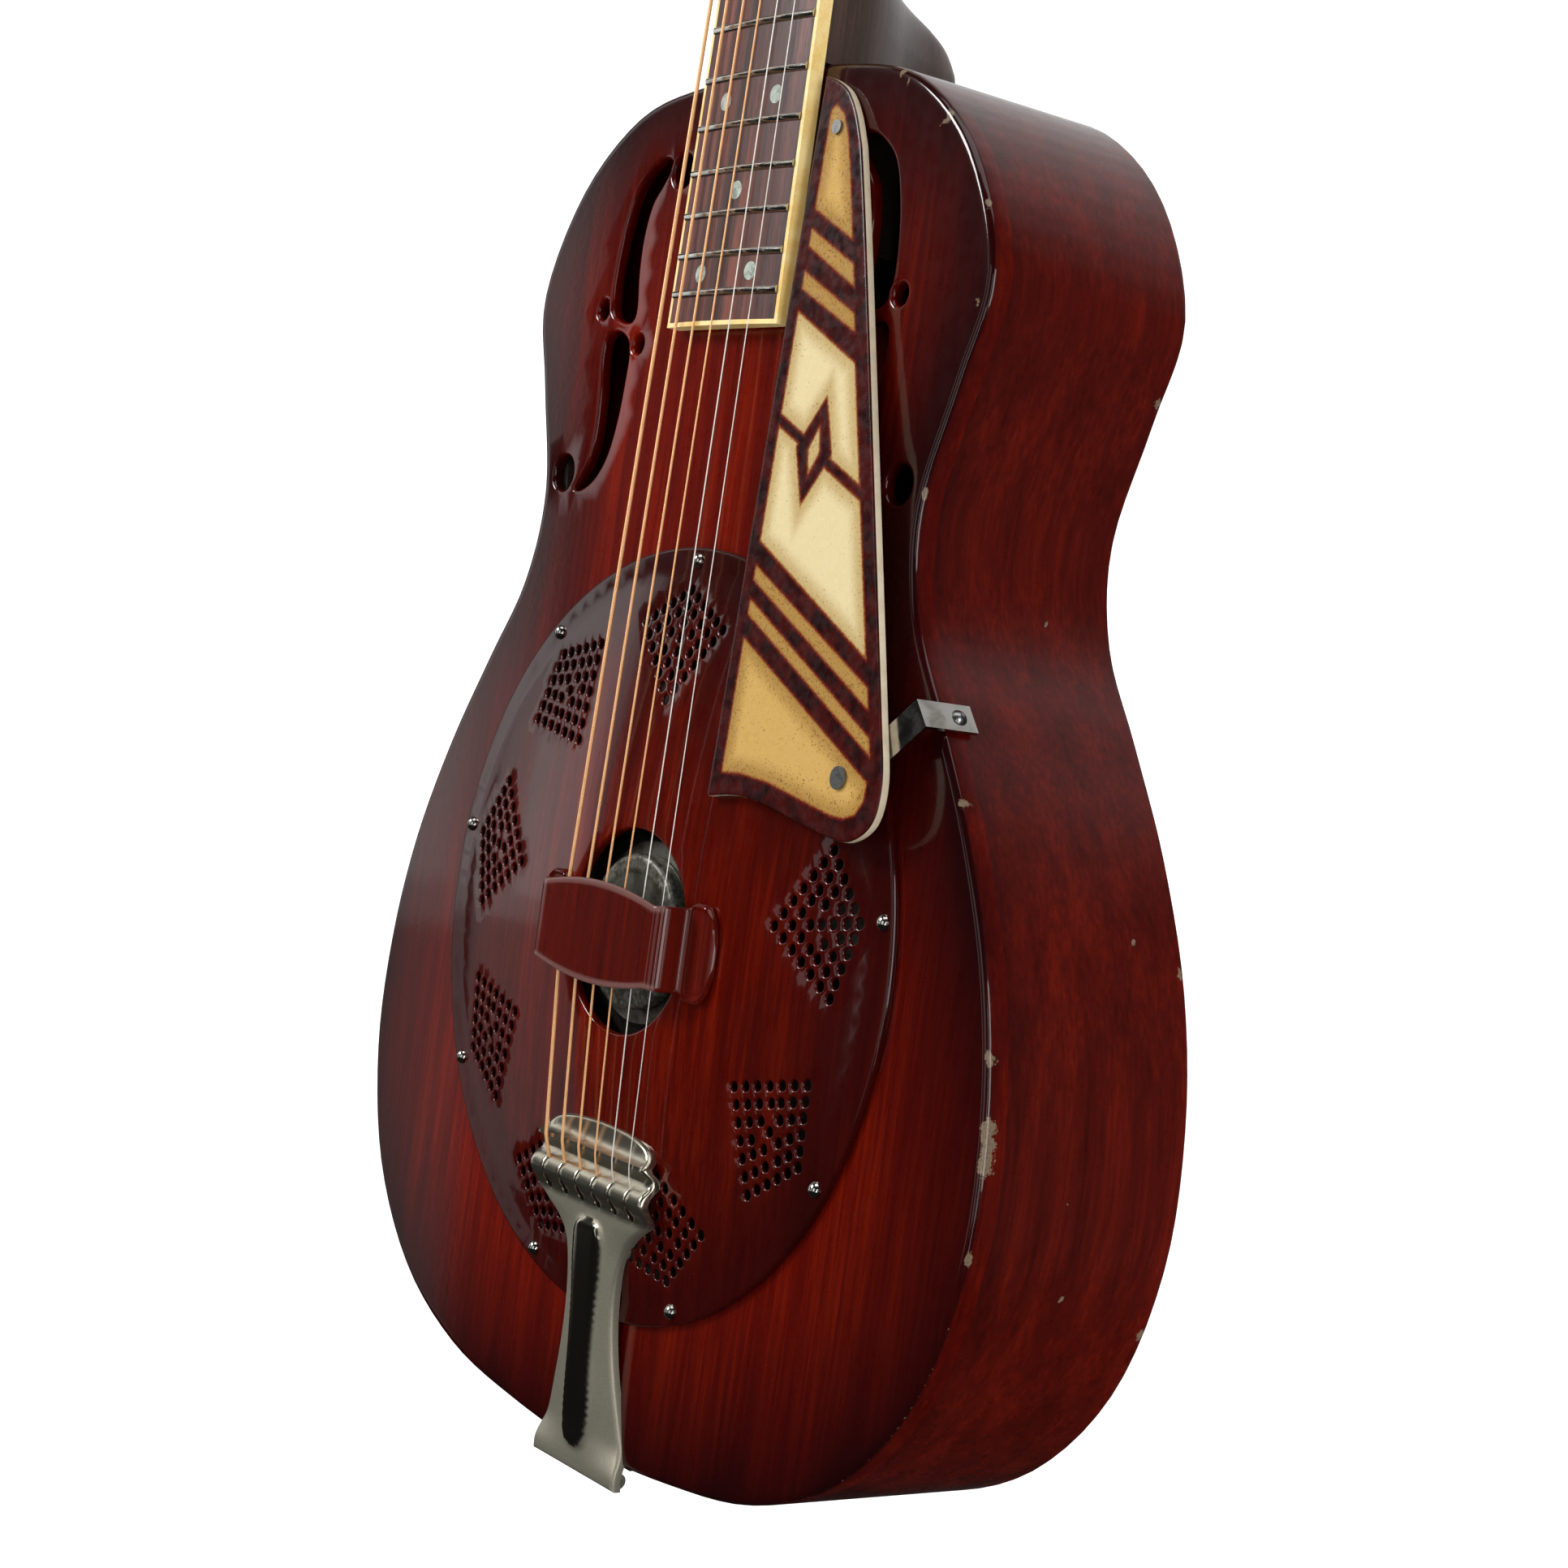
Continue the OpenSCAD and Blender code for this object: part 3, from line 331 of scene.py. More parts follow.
def sweep(path, profile):
    """A closed cross-section of (inset, depth) pairs carried along an open line on the plan."""
    normal = inward(path)
    for end, (a, b) in ((0, (0, 1)), (-1, (-2, -1))):
        d = path[b] - path[a]
        normal[end] = np.array([-d[1], d[0]]) / np.linalg.norm(d)
    verts, rings = [], []
    for (x, z), n in zip(path, normal):
        rings.append(list(range(len(verts), len(verts) + len(profile))))
        verts += [place(x + n[0] * i, z + n[1] * i, -d) for i, d in profile]
    faces = []
    for a, b in zip(rings, rings[1:]):
        faces += stitch(a, b)
    return verts, faces + [tuple(rings[0]), tuple(rings[-1][::-1])]


def loft(sections):
    """Closed rings of points joined in order, with flat ends."""
    n = len(sections[0])
    verts = [v for s in sections for v in s]
    rings = [tuple(range(k * n, k * n + n)) for k in range(len(sections))]
    faces = []
    for a, b in zip(rings, rings[1:]):
        faces += stitch(a, b)
    return verts, faces + [rings[0][::-1], rings[-1]]


def join(verts, faces, more_verts, more_faces):
    """Adds one set of vertices and faces to another."""
    faces += [tuple(i + len(verts) for i in face) for face in more_faces]
    verts += more_verts


def smoothstep(t):
    t = np.clip(t, 0, 1)
    return t * t * (3 - 2 * t)


# ---- materials ----


def linear(code):
    """A hex colour as linear RGBA."""
    c = [int(code[i : i + 2], 16) / 255 for i in (0, 2, 4)]
    return tuple((v / 12.92 if v <= 0.04045 else ((v + 0.055) / 1.055) ** 2.4) for v in c) + (1.0,)


class Graph:
    """A small helper for building one material's nodes."""

    def __init__(self, name):
        self.mat = bpy.data.materials.new(name)
        self.mat.use_nodes = True
        self.tree = self.mat.node_tree
        self.tree.nodes.clear()
        self.out = self.node("OutputMaterial")
        self.bsdf = self.node("BsdfPrincipled")
        self.put(self.out.inputs[0], self.bsdf.outputs[0])

    def put(self, socket, value):
        if isinstance(value, bpy.types.NodeSocket):
            self.tree.links.new(value, socket)
        elif value is not None:
            socket.default_value = linear(value) if isinstance(value, str) else value

    def node(self, kind, **inputs):
        """A new shader node with some of its inputs filled in; an underscore stands for a space."""
        n = self.tree.nodes.new("ShaderNode" + kind)
        for key, value in inputs.items():
            self.put(n.inputs[key.replace("_", " ")], value)
        return n

    def set(self, **inputs):
        for key, value in inputs.items():
            self.put(self.bsdf.inputs[key.replace("_", " ")], value)

    def place(self, scale=(1, 1, 1)):
        """Object coordinates in millimetres, stretched by scale."""
        where = self.node("TexCoord").outputs["Object"]
        return self.node("Mapping", Vector=where, Scale=[s / MM for s in scale]).outputs[0]

    def noise(self, size, detail=3.0, stretch=(1, 1, 1), distortion=0.0, rough=0.5):
        """Noise whose features are about size millimetres across, times stretch."""
        where = self.place([1 / (size * s) for s in stretch])
        n = self.node("TexNoise", Vector=where, Scale=1, Detail=detail, Roughness=rough, Distortion=distortion)
        return n.outputs["Fac"]

    def cells(self, size):
        return self.node("TexVoronoi", Vector=self.place([1 / size] * 3), Scale=1).outputs["Distance"]

    def ramp(self, fac, stops):
        n = self.node("ValToRGB", Fac=fac)
        while len(n.color_ramp.elements) < len(stops):
            n.color_ramp.elements.new(0.5)
        for e, (pos, colour) in zip(n.color_ramp.elements, stops):
            e.position, e.color = pos, linear(colour)
        return n.outputs[0]

    def mix(self, fac, a, b):
        n = self.node("Mix")
        n.data_type = "RGBA"
        for socket, value in ((0, fac), (6, a), (7, b)):
            self.put(n.inputs[socket], value)
        return n.outputs[2]

    def math(self, kind, a, b, clamp=False):
        n = self.node("Math")
        n.operation, n.use_clamp = kind, clamp
        self.put(n.inputs[0], a)
        self.put(n.inputs[1], b)
        return n.outputs[0]

    def times(self, a, b, clamp=False):
        return self.math("MULTIPLY", a, b, clamp)

    def plus(self, a, b):
        return self.math("ADD", a, b)

    def blend(self, a, share, b):
        """A share of one value with the rest of another."""
        return self.plus(self.times(a, share), self.times(b, round(1 - share, 6)))

    def span(self, value, low, high, to_low=0.0, to_high=1.0):
        """A smooth step from to_low to to_high while the value goes from low to high."""
        n = self.node("MapRange")
        n.interpolation_type = "SMOOTHSTEP"
        keys = ("Value", "From Min", "From Max", "To Min", "To Max")
        for key, v in zip(keys, (value, low, high, to_low, to_high)):
            self.put(n.inputs[key], v)
        return n.outputs[0]

    def attribute(self, name):
        n = self.node("Attribute")
        n.attribute_name = name
        return n.outputs["Fac"]

    def coordinate(self, axis):
        return self.node("SeparateXYZ", Vector=self.place()).outputs[axis]

    def bump(self, height, distance_mm, strength):
        return self.node("Bump", Strength=strength, Distance=distance_mm * MM, Height=height).outputs[0]


def lacquered_wood(name, light, mid, dark, edge, grain=1.0, burst=True, chips=False):
    """Stained mahogany under gloss lacquer, darker towards the edges, with fine pores along the grain."""
    g = Graph(name)
    bands = g.noise(11, 3, (1, 1, 26), 0.25)
    fine = g.noise(1.5, 4, (1, 1, 26), 0.2, 0.6)
    pores = g.noise(0.42, 2, (1, 1, 14))
    colour = g.ramp(g.blend(bands, 0.5, fine), [(0.3, dark), (0.5, mid), (0.7, light)])
    colour = g.mix(g.span(pores, 0.58, 0.76, 0, 0.5 * grain), colour, dark)
    colour = g.mix(g.span(g.noise(0.9, 3, (1, 1, 5)), 0.66, 0.78, 0, 0.22 * grain), colour, light)
    if burst:
        # The edge colour is a darker stain on the body, back and cover; on the hand rest it is a pale painted
        # highlight.
        near = g.times(g.attribute("edge"), g.span(g.noise(55, 2, (1, 1, 2)), 0.2, 0.8, 0.85, 1.1), True)
        colour = g.mix(near, colour, edge)
    rough = g.span(g.noise(5, 4), 0.3, 0.75, 0.26, 0.34)
    if chips:
        ragged = g.times(g.math("SUBTRACT", g.noise(1.1, 4, rough=0.75), 0.5), 1.3)
        mask = g.span(g.plus(g.attribute("chip"), ragged), 0.56, 0.62)
        colour = g.mix(mask, colour, g.mix(g.noise(0.8, 2), "877560", "4e3e30"))
        rough = g.math("MAXIMUM", rough, g.times(mask, 0.7))
    height = g.blend(fine, 0.4, g.noise(3.2, 2))
    g.set(Base_Color=colour, Roughness=rough, IOR=1.4, Specular_IOR_Level=0.05)
    g.set(Coat_Weight=0.7, Coat_Roughness=0.08)
    g.set(Normal=g.bump(height, 0.03, 0.5), Coat_Normal=g.bump(g.noise(2.6, 2), 0.012, 0.7))
    return g.mat


def metal(name, colour, dull, rough, size, bump_mm=0.01):
    """Plated or plain metal with smudges and faint wear."""
    g = Graph(name)
    smudge = g.noise(size * 4, 4, distortion=0.5)
    fine = g.noise(size * 0.3, 3)
    g.set(Base_Color=g.mix(g.span(smudge, 0.4, 0.72), colour, dull), Metallic=1.0)
    g.set(Roughness=g.span(g.blend(smudge, 0.7, fine), 0.3, 0.7, *rough), Normal=g.bump(fine, bump_mm, 0.4))
    return g.mat


def plastic(name, colour, second, rough=0.3, size=6.0, subsurface=0.0, coat=0.0):
    """Plastic, bone or plain wood: two clouded colours with fine specks."""
    g = Graph(name)
    cloud = g.noise(size, 4, distortion=0.6)
    speck = g.noise(0.9, 3)
    tone = g.span(g.blend(cloud, 0.75, speck), 0.35, 0.68)
    g.set(Base_Color=g.mix(tone, colour, second), Coat_Weight=coat)
    g.set(Roughness=g.span(speck, 0.2, 0.8, rough * 0.8, rough * 1.3), Normal=g.bump(speck, 0.02, 0.3))
    g.set(Subsurface_Weight=subsurface, Subsurface_Radius=(0.002, 0.001, 0.0006))
    return g.mat


BODY_WOOD = lacquered_wood("body_wood", "801900", "5c0900", "3c0300", "1c0203", chips=True)
# The sides and back carry a darker copy of the top's stained mahogany: painted shade that offsets the strong fill light
# from the right.
SHADED_SIDE_WOOD = lacquered_wood("side_wood", "621206", "480a04", "300503", "1c0304", chips=True)
NECK_WOOD = lacquered_wood("neck_wood", "55423c", "40342f", "2e2623", "181212", burst=False)
INSIDE_WOOD = plastic("inside_wood", (0.035, 0.02, 0.013, 1), (0.02, 0.012, 0.008, 1), 0.8)
BRIGHT_NICKEL = metal("bright_nickel", "c9c6c0", "9a958c", (0.08, 0.24), 2)
STEEL = metal("plain_steel", "8e8e8e", "5f5d58", (0.25, 0.45), 2)
BRASS = metal("gear_brass", "c0a05a", "7d6333", (0.22, 0.45), 2)
CONE_METAL = metal("spun_aluminium", "7d7d74", "4a4a43", (0.35, 0.55), 1.6, bump_mm=0.05)
BINDING = plastic("cream_binding", "f4dc9c", "e3bd6a", 0.35, 14, 0.1)
BONE = plastic("aged_bone", "ded2b4", "b9a67d", 0.3, 5, 0.15, 0.3)
PEARL = plastic("grey_pearl", "b4bcb2", "7f897f", 0.22, 2.2, 0.0, 0.6)


def rosewood():
    g = Graph("rosewood_board")
    streak = g.noise(5, 4, (1, 1, 26), 0.3)
    pores = g.noise(0.5, 3, (1, 1, 14))
    colour = g.ramp(streak, [(0.34, "2c110d"), (0.5, "4c2018"), (0.68, "74392a")])
    colour = g.mix(g.span(pores, 0.56, 0.68, 0, 0.75), colour, "1a0a08")
    g.set(Base_Color=colour, Roughness=g.span(pores, 0.4, 0.7, 0.34, 0.55), Normal=g.bump(pores, 0.05, 0.6))
    return g.mat


WAVE_PITCH = 0.314  # Blender's wave texture has one band for each 0.314 units at scale 1


def string_metal(name, colour, dark, pitch):
    """A string; pitch is the spacing of its winding in mm, or None for a plain one."""
    g = Graph(name)
    g.set(Metallic=0.4, Roughness=0.34)
    if pitch:
        wave = g.node("TexWave", Vector=g.place(), Scale=WAVE_PITCH / pitch)
        wave.bands_direction = "Z"
        turns = wave.outputs["Fac"]
        g.set(Base_Color=g.mix(turns, dark, colour), Normal=g.bump(turns, 0.06, 0.7))
    else:
        g.set(Base_Color=g.mix(g.noise(6, 2), colour, dark), Normal=g.bump(g.noise(0.4, 2), 0.01, 0.3))
    return g.mat


ROSEWOOD = rosewood()
BRONZE = string_metal("bronze_winding", "ffcf98", "e29a62", 0.5)
PLAIN_STRING = string_metal("plain_string", "fbf7f0", "d6d0c6", None)


def headstock_black():
    g = Graph("headstock_black")
    grain = g.noise(1.2, 3, (1, 1, 18))
    g.set(Base_Color=g.mix(grain, "0d0b0a", "1c1613"), Roughness=0.3, Coat_Weight=1.0)
    g.set(Coat_Roughness=0.06, Normal=g.bump(grain, 0.02, 0.4), Coat_Normal=g.bump(g.noise(30, 2), 0.06, 0.5))
    return g.mat


def paint(node, material):
    """A finish for a piece that is carried over from the frame."""
    data = NODES[node].data
    data.materials.clear()
    data.materials.append(material)


for names, material in (
    ("neck_block tail_block soundwell top_braces back_braces top_lining back_lining", INSIDE_WOOD),
    ("cone", CONE_METAL),
    ("nut", BONE),
    ("end_pin", plastic("black_ebonite", "16120f", "2a211c", 0.35, 5, 0.0, 0.4)),
    ("biscuit_screw neck_bar tailpiece_pin pickguard_screws", STEEL),
    ("tailpiece_bracket tailpiece_screws coverplate_screws frets tuner_bushings", BRIGHT_NICKEL),
    ("bass_tuner_plate treble_tuner_plate tuner_plate_screws pickguard_bracket", BRIGHT_NICKEL),
    ("fretboard", ROSEWOOD),
    ("fretboard_binding", BINDING),
    ("fret_dots", PEARL),
    ("headstock_veneer", headstock_black()),
    ("wound_strings", BRONZE),
    ("second_string first_string", PLAIN_STRING),
    ("saddle", plastic("maple_saddle", "a98a5c", "6e5233", 0.5, 3)),
):
    for node in names.split():
        paint(node, material)
for i in range(1, 7):
    for part, material in (("worm", STEEL), ("gear", BRASS), ("button", BONE)):
        paint(f"tuner_{part}_{i}", material)

# ---- body ----

EDGE_R = 2.3  # rounding of the front edge
EDGE_IN = 3.4  # where the top's flat faces begin, in from the edge
BACK_EDGE_R = 1.1
BACK_T = 3.5
SEAM = 8.0  # how far the top's piece runs down the side
SIDE_T = 2.6
BURST = 60  # how far the dark stain reaches in from the edge
TREBLE_BURST = 86
BODY_OUTLINE = resample(outline_of("soundboard")[0], 2.4)


def f_holes():
    """The pair of sound holes, each cut in two by a bridge, with its eyes and nicks."""
    upper = [(52, 259), (58, 261), (66, 257), (72.5, 250), (77, 236), (78.8, 222), (78.3, 211.5), (75.5, 207.3),
             (69, 205.2), (64, 205.8), (62.6, 210), (64.3, 222), (64.3, 234), (61.5, 245.5), (56, 252.5)]
    lower = [(79.5, 199.5), (74, 202.2), (67, 200), (63.7, 195), (64, 184), (65.3, 172), (68.5, 160), (74, 152),
             (81, 147.6), (87, 146.6), (84.2, 150.5), (80, 157), (78, 167), (78.4, 180), (80, 191)]
    slots = [resample(curve_through(p, 8), 1.6) for p in (upper, lower)]
    eyes = ((45, 256, 5.8), (95.5, 152.5, 6.3), (83.5, 210, 3.5), (58.5, 197.5, 3.4))
    return slots + [circle(x, z, r, 28) for x, z, r in eyes]


def store(obj, name, values):
    """Keeps one number for each point of a mesh, for its material to read."""
    obj.data.attributes.new(name, "FLOAT", "POINT").data.foreach_set("value", np.asarray(values, np.float32))


def wall_shade(y):
    """The stain on the sides is darker towards the front edge."""
    return np.clip(y / (FRONT_Y / 2) - 1, 0, 1) ** 3.4 * 0.8


def burst(obj, outline, reach, most=1.0, treble_reach=None):
    """Stores how near each point is to the body's edge, for the darker stain there."""
    co = points_mm(obj)
    if treble_reach:
        reach = reach + (treble_reach - reach) * smoothstep((co[:, 0] + 20) / 60)
    d = edge_distance(co[:, [0, 2]], [outline])
    store(obj, "edge", np.where(d < 0.2, wall_shade(co[:, 1]), np.clip(1 - d / reach, 0, most) ** 1.1))


# Worn places along the edges: x side, z along, depth behind the front (negative: in from the edge), size
CHIPS = [(1, 279, -3, 1.7), (1, 276, -6, 1.2), (1, 263, -3.2, 2.0), (1, 236, 0.8, 1.6), (1, 207, -4.4, 1.8),
         (1, 150, 1, 1.6), (1, 62, 1.5, 1.6), (1, -6.6, 1, 2), (1, -26, 1.2, 2.6), (1, -31, 1.6, 2.3),
         (1, -36, 1.2, 2.7), (1, -63, 1, 1.7), (1, -88, 77, 1.8), (1, 20, 77, 1.6), (1, 190, 77, 1.8),
         (1, -22, 46, 1.1), (1, -46, 34, 1.1), (1, -75, 40, 1), (1, 118, 52, 1), (1, 28, 60, 1.2),
         (-1, 120, 1, 1.8), (-1, -60, 1, 1.8)]


def add_chips(obj, outline):
    """Stores how near each point is to a worn place, with a fainter line of wear along the front edge's ends."""
    co = points_mm(obj)
    ends = smoothstep((abs(co[:, 2] - 95) - 150) / 25)
    line = smoothstep(1 - abs(co[:, 1] - FRONT_Y - 1.0) / 1.3)
    line = line * smoothstep(1 - edge_distance(co[:, [0, 2]], [outline]) / 1.6)
    value = 0.52 * line * ends
    for side, z, depth, size in CHIPS:
        half = outline[outline[:, 0] * side > 0]
        x = half[np.argmin(abs(half[:, 1] - z)), 0]
        at = [x + side * min(depth, 0), FRONT_Y + max(depth, 0), z]
        d = np.linalg.norm((co - at) / [1, 1, 1.7], axis=1)
        value = np.maximum(value, np.clip(1.35 - d / size, 0, 1))
    store(obj, "chip", value)


def build_body():
    """The top with its holes, the two sides and the back, each as a closed shell."""
    holes = f_holes()
    holes += [mirror_loop(h) for h in holes]
    well_r = box_mm("cone")[1][0] + 1
    loops = [BODY_OUTLINE] + holes + [circle(0, COVER_Z, well_r, 120)]
    outer = [(EDGE_IN, 0)] + rounded(EDGE_R, 6)
    outer += [(0, SEAM), (SIDE_T, SEAM), (SIDE_T, TOP_T), (EDGE_IN, None)]
    rim = rounded(1.5, 5) + [(0, TOP_T - 0.4), (0.4, TOP_T), (1.5, None)]
    plain = [(0.6, 0), (0.2, 0.2), (0, 0.6), (0, TOP_T - 0.4), (0.6, None)]
    profiles = [outer] + [rim] * len(holes) + [plain]
    flat = lambda x, z: 0.0
    verts, faces = plate(loops, profiles, flat, lambda x, z: -TOP_T, 7)
    top = make_object("body_top", verts, faces, BODY_WOOD, "root", ["soundboard"], "body_finish", 50)
    burst(top, BODY_OUTLINE, BURST, treble_reach=TREBLE_BURST)
    add_chips(top, BODY_OUTLINE)

    depth = -FRONT_Y
    bottom = int(np.argmin(BODY_OUTLINE[:, 1] + abs(BODY_OUTLINE[:, 0]) * 0.2))
    ring = np.roll(BODY_OUTLINE, -bottom, 0)
    treble, bass = ring[ring[:, 0] > 0.5], ring[ring[:, 0] < -0.5]
    head, tail = [0, BODY_OUTLINE[:, 1].max()], [0, BODY_OUTLINE[:, 1].min()]
    order = np.argsort(-np.unwrap(np.arctan2(treble[:, 1], treble[:, 0])))[::-1]
    treble = np.vstack([tail, treble[order], head])
    bass = np.vstack([head, bass[np.argsort(np.arctan2(bass[:, 1], -bass[:, 0]))[::-1]], tail])
    wall = [(0, SEAM), (0, depth - BACK_T), (SIDE_T, depth - BACK_T), (SIDE_T, SEAM)]
    for name, path in (("treble", treble), ("bass", bass)):
        shell = sweep(path, densify(wall, 38))
        side = make_object(f"{name}_side_shell", *shell, SHADED_SIDE_WOOD, "root", [f"{name}_side"], "body_finish")
        store(side, "edge", wall_shade(points_mm(side)[:, 1]))
        add_chips(side, BODY_OUTLINE)

    outer = rounded(BACK_EDGE_R, 4) + [(0, 1.8), (0, BACK_T), (BACK_EDGE_R, None)]
    behind = lambda x, z, h: Vector((-x, h, z)) * MM
    verts, faces = plate([mirror_loop(BODY_OUTLINE)], [outer], flat, lambda x, z: -BACK_T, 9, behind)
    back = make_object("body_back", verts, faces, SHADED_SIDE_WOOD, "root", ["back_plate"], "body_finish")
    burst(back, BODY_OUTLINE, BURST, 0.45)
    add_chips(back, BODY_OUTLINE)


def densify(profile, steps):
    """The long sides of a closed cross-section cut into shorter ones."""
    out = []
    for a, b in zip(profile, profile[1:] + profile[:1]):
        n = steps if abs(a[1] - b[1]) > 10 else 1
        out += [(a[0] + (b[0] - a[0]) * k / n, a[1] + (b[1] - a[1]) * k / n) for k in range(n)]
    return out


build_body()

# ---- coverplate ----

FLANGE_H = 2.4
DOME_R = 118.0
DOME_STEP = 2.8  # height of the dome's rim above the soundboard
OPENING_R = 33.5
RISE = 8.8  # from the dome's rim to its middle
BALL_R = (DOME_R**2 + RISE**2) / (2 * RISE)
GROUPS = 9
KITE = (76.3, (22.2, 100.9), 112.8)  # radius of the inner corner, side corner as (across, radius), outer corner
HOLE_R = 1.75
SHEET = 1.05  # thickness of the cover


def dome(r):
    """Height of the cover's face at a distance from its centre."""
    r = min(abs(r), COVER_R)
    lift = DOME_STEP + RISE - BALL_R + math.sqrt(BALL_R**2 - min(r, DOME_R) ** 2)
    return FLANGE_H + (lift - FLANGE_H) * float(smoothstep((DOME_R + 2.2 - r) / 3.4))


def cover_h(x, z):
    return dome(math.hypot(x, z - COVER_Z))


def kite_holes():
    """Places of one group's holes: 7 by 7 in a kite, less a cross of eight round its middle hole."""
    inner, side, outer = KITE
    share = lambda i, t: i / 6 * (1 - t) + (i - 1 if i > 3 else i) / 5 * t
    kept = lambda i, j: (i != 3 and j != 3) or (i == 3 and (j < 2 or j == 3)) or (j == 3 and i < 2)
    for i in range(7):
        for j in range(7):
            if kept(i, j):
                a, b = (0.48, 0.48) if i == j == 3 else (share(i, j / 6), share(j, i / 6))
                x = side[0] * (b * (1 - a) - a * (1 - b))
                r = inner * (1 - a) * (1 - b) + side[1] * (a * (1 - b) + b * (1 - a)) + outer * a * b
                yield x, r


def cover_places(x, r):
    """The same place in each of the cover's nine groups."""
    for k in range(GROUPS):
        a = 2 * math.pi * k / GROUPS
        yield x * math.cos(a) + r * math.sin(a), r * math.cos(a) - x * math.sin(a) + COVER_Z


def build_cover():
    loops = [circle(0, COVER_Z, COVER_R, 220), circle(0, COVER_Z, OPENING_R, 90)]
    profiles = [rounded(1.1, 4) + [(0, 2.2), (0.3, 2.35), (1.1, None)]]
    profiles += [rounded(1.0, 4) + [(0, 2.6), (1.0, 2.6), (1.0, None)]]
    for x, r in kite_holes():
        for cx, cz in cover_places(x, r):
            loops.append(circle(cx, cz, HOLE_R, 14))
            profiles.append([(0.5, 0), (0.16, 0.12), (0, 0.45), (0, 1.0), (0.5, None)])
    under = lambda x, z: cover_h(x, z) - SHEET if math.hypot(x, z - COVER_Z) < DOME_R - 1 else 0
    verts, faces = plate(loops, profiles, cover_h, lambda x, z: max(0.05, under(x, z)), 4.5)
    enamel = lacquered_wood("cover_paint", "721500", "4e0700", "340200", "220303", grain=0.8)
    cover = make_object("resonator_cover", verts, faces, enamel, "root", ["coverplate"], "cover_paint", 60)
    co = points_mm(cover)
    r = np.hypot(co[:, 0], co[:, 2] - COVER_Z)
    store(cover, "edge", np.clip((r - 40) / 80, 0, 1) ** 1.1 * 0.88)


build_cover()


# ---- biscuit: the disc under the saddle, seen through the cover's opening ----


def lathe(profile, steps):
    """A profile of (radius, height) pairs turned about the cover's axis."""
    verts, faces = [], []
    for k in range(steps):
        a = 2 * math.pi * k / steps
        verts += [place(r * math.sin(a), COVER_Z + r * math.cos(a), h) for r, h in profile]
    n = len(profile)
    for k in range(steps):
        here, then = k * n, (k + 1) % steps * n
        faces += [(here + i, then + i, then + i + 1, here + i + 1) for i in range(n - 1)]
    return verts, faces


def hammered():
    g = Graph("hammered_disc")
    r = g.attribute("ring")
    dents = g.cells(3.4)
    cloud = g.noise(6, 4)
    cloud = g.blend(cloud, 0.6, g.noise(0.9, 3))
    base = g.ramp(cloud, [(0.35, "1d1d16"), (0.5, "2f2f25"), (0.66, "46453a")])
    worn = g.ramp(g.noise(1.6, 4), [(0.4, "35352c"), (0.62, "68675d")])
    g.set(Base_Color=g.mix(r, base, worn), Metallic=g.times(r, 0.4))
    g.set(Roughness=g.span(cloud, 0.3, 0.7, 0.35, 0.55), Normal=g.bump(dents, 0.35, g.times(r, 0.9)))
    g.set(Coat_Weight=0.3, Coat_Roughness=0.2)
    return g.mat


def build_biscuit():
    low, high = box_mm("biscuit")
    top, bottom, r = FRONT_Y - low[1], FRONT_Y - high[1], (high[0] - low[0]) / 2
    bore = 1.75
    profile = [(bore, top - 0.5), (8, top - 0.45), (15, top - 0.4), (19.5, top - 0.5), (20.4, top - 0.2)]
    profile += [(21.2, top)]
    profile += [(22.6, top + 0.05), (24.2, top - 0.15), (r - 0.3, top - 0.8), (r, top - 1.6), (r, bottom + 0.4)]
    profile += [(r - 0.4, bottom), (bore, bottom), (bore, top - 0.5)]
    dense = []
    for a, b in zip(profile, profile[1:]):
        n = max(1, int(math.hypot(b[0] - a[0], b[1] - a[1]) / 0.8))
        dense += [(a[0] + (b[0] - a[0]) * k / n, a[1] + (b[1] - a[1]) * k / n) for k in range(n)]
    dense.append(profile[-1])
    rng = np.random.default_rng(7)
    verts, faces = lathe(dense[:-1], 160)
    n = len(dense) - 1
    faces += [((k * n + n - 1), ((k + 1) % 160) * n + n - 1, ((k + 1) % 160) * n, k * n) for k in range(160)]
    co = np.array(verts) / MM
    radius = np.hypot(co[:, 0], co[:, 2] - COVER_Z)
    dents = sum(
        np.exp(-((co[:, 0] - x) ** 2 + (co[:, 2] - COVER_Z - z) ** 2) / 2.2) * d
        for x, z, d in ((q * math.cos(t), q * math.sin(t), w) for q, t, w in zip(
            rng.uniform(20.5, 25, 90), rng.uniform(0, 2 * math.pi, 90), rng.uniform(0.15, 0.4, 90)))
    )
    co[:, 1] += np.where(radius > 19.5, dents, 0) * (co[:, 1] < FRONT_Y - top + 2)
    disc = make_object("biscuit_disc", co * MM, faces, hammered(), replaces=["biscuit"], slot="biscuit_wood", sharp=50)
    store(disc, "ring", smoothstep((radius - 19.6) / 1.6))


build_biscuit()

# ---- hand rest ----


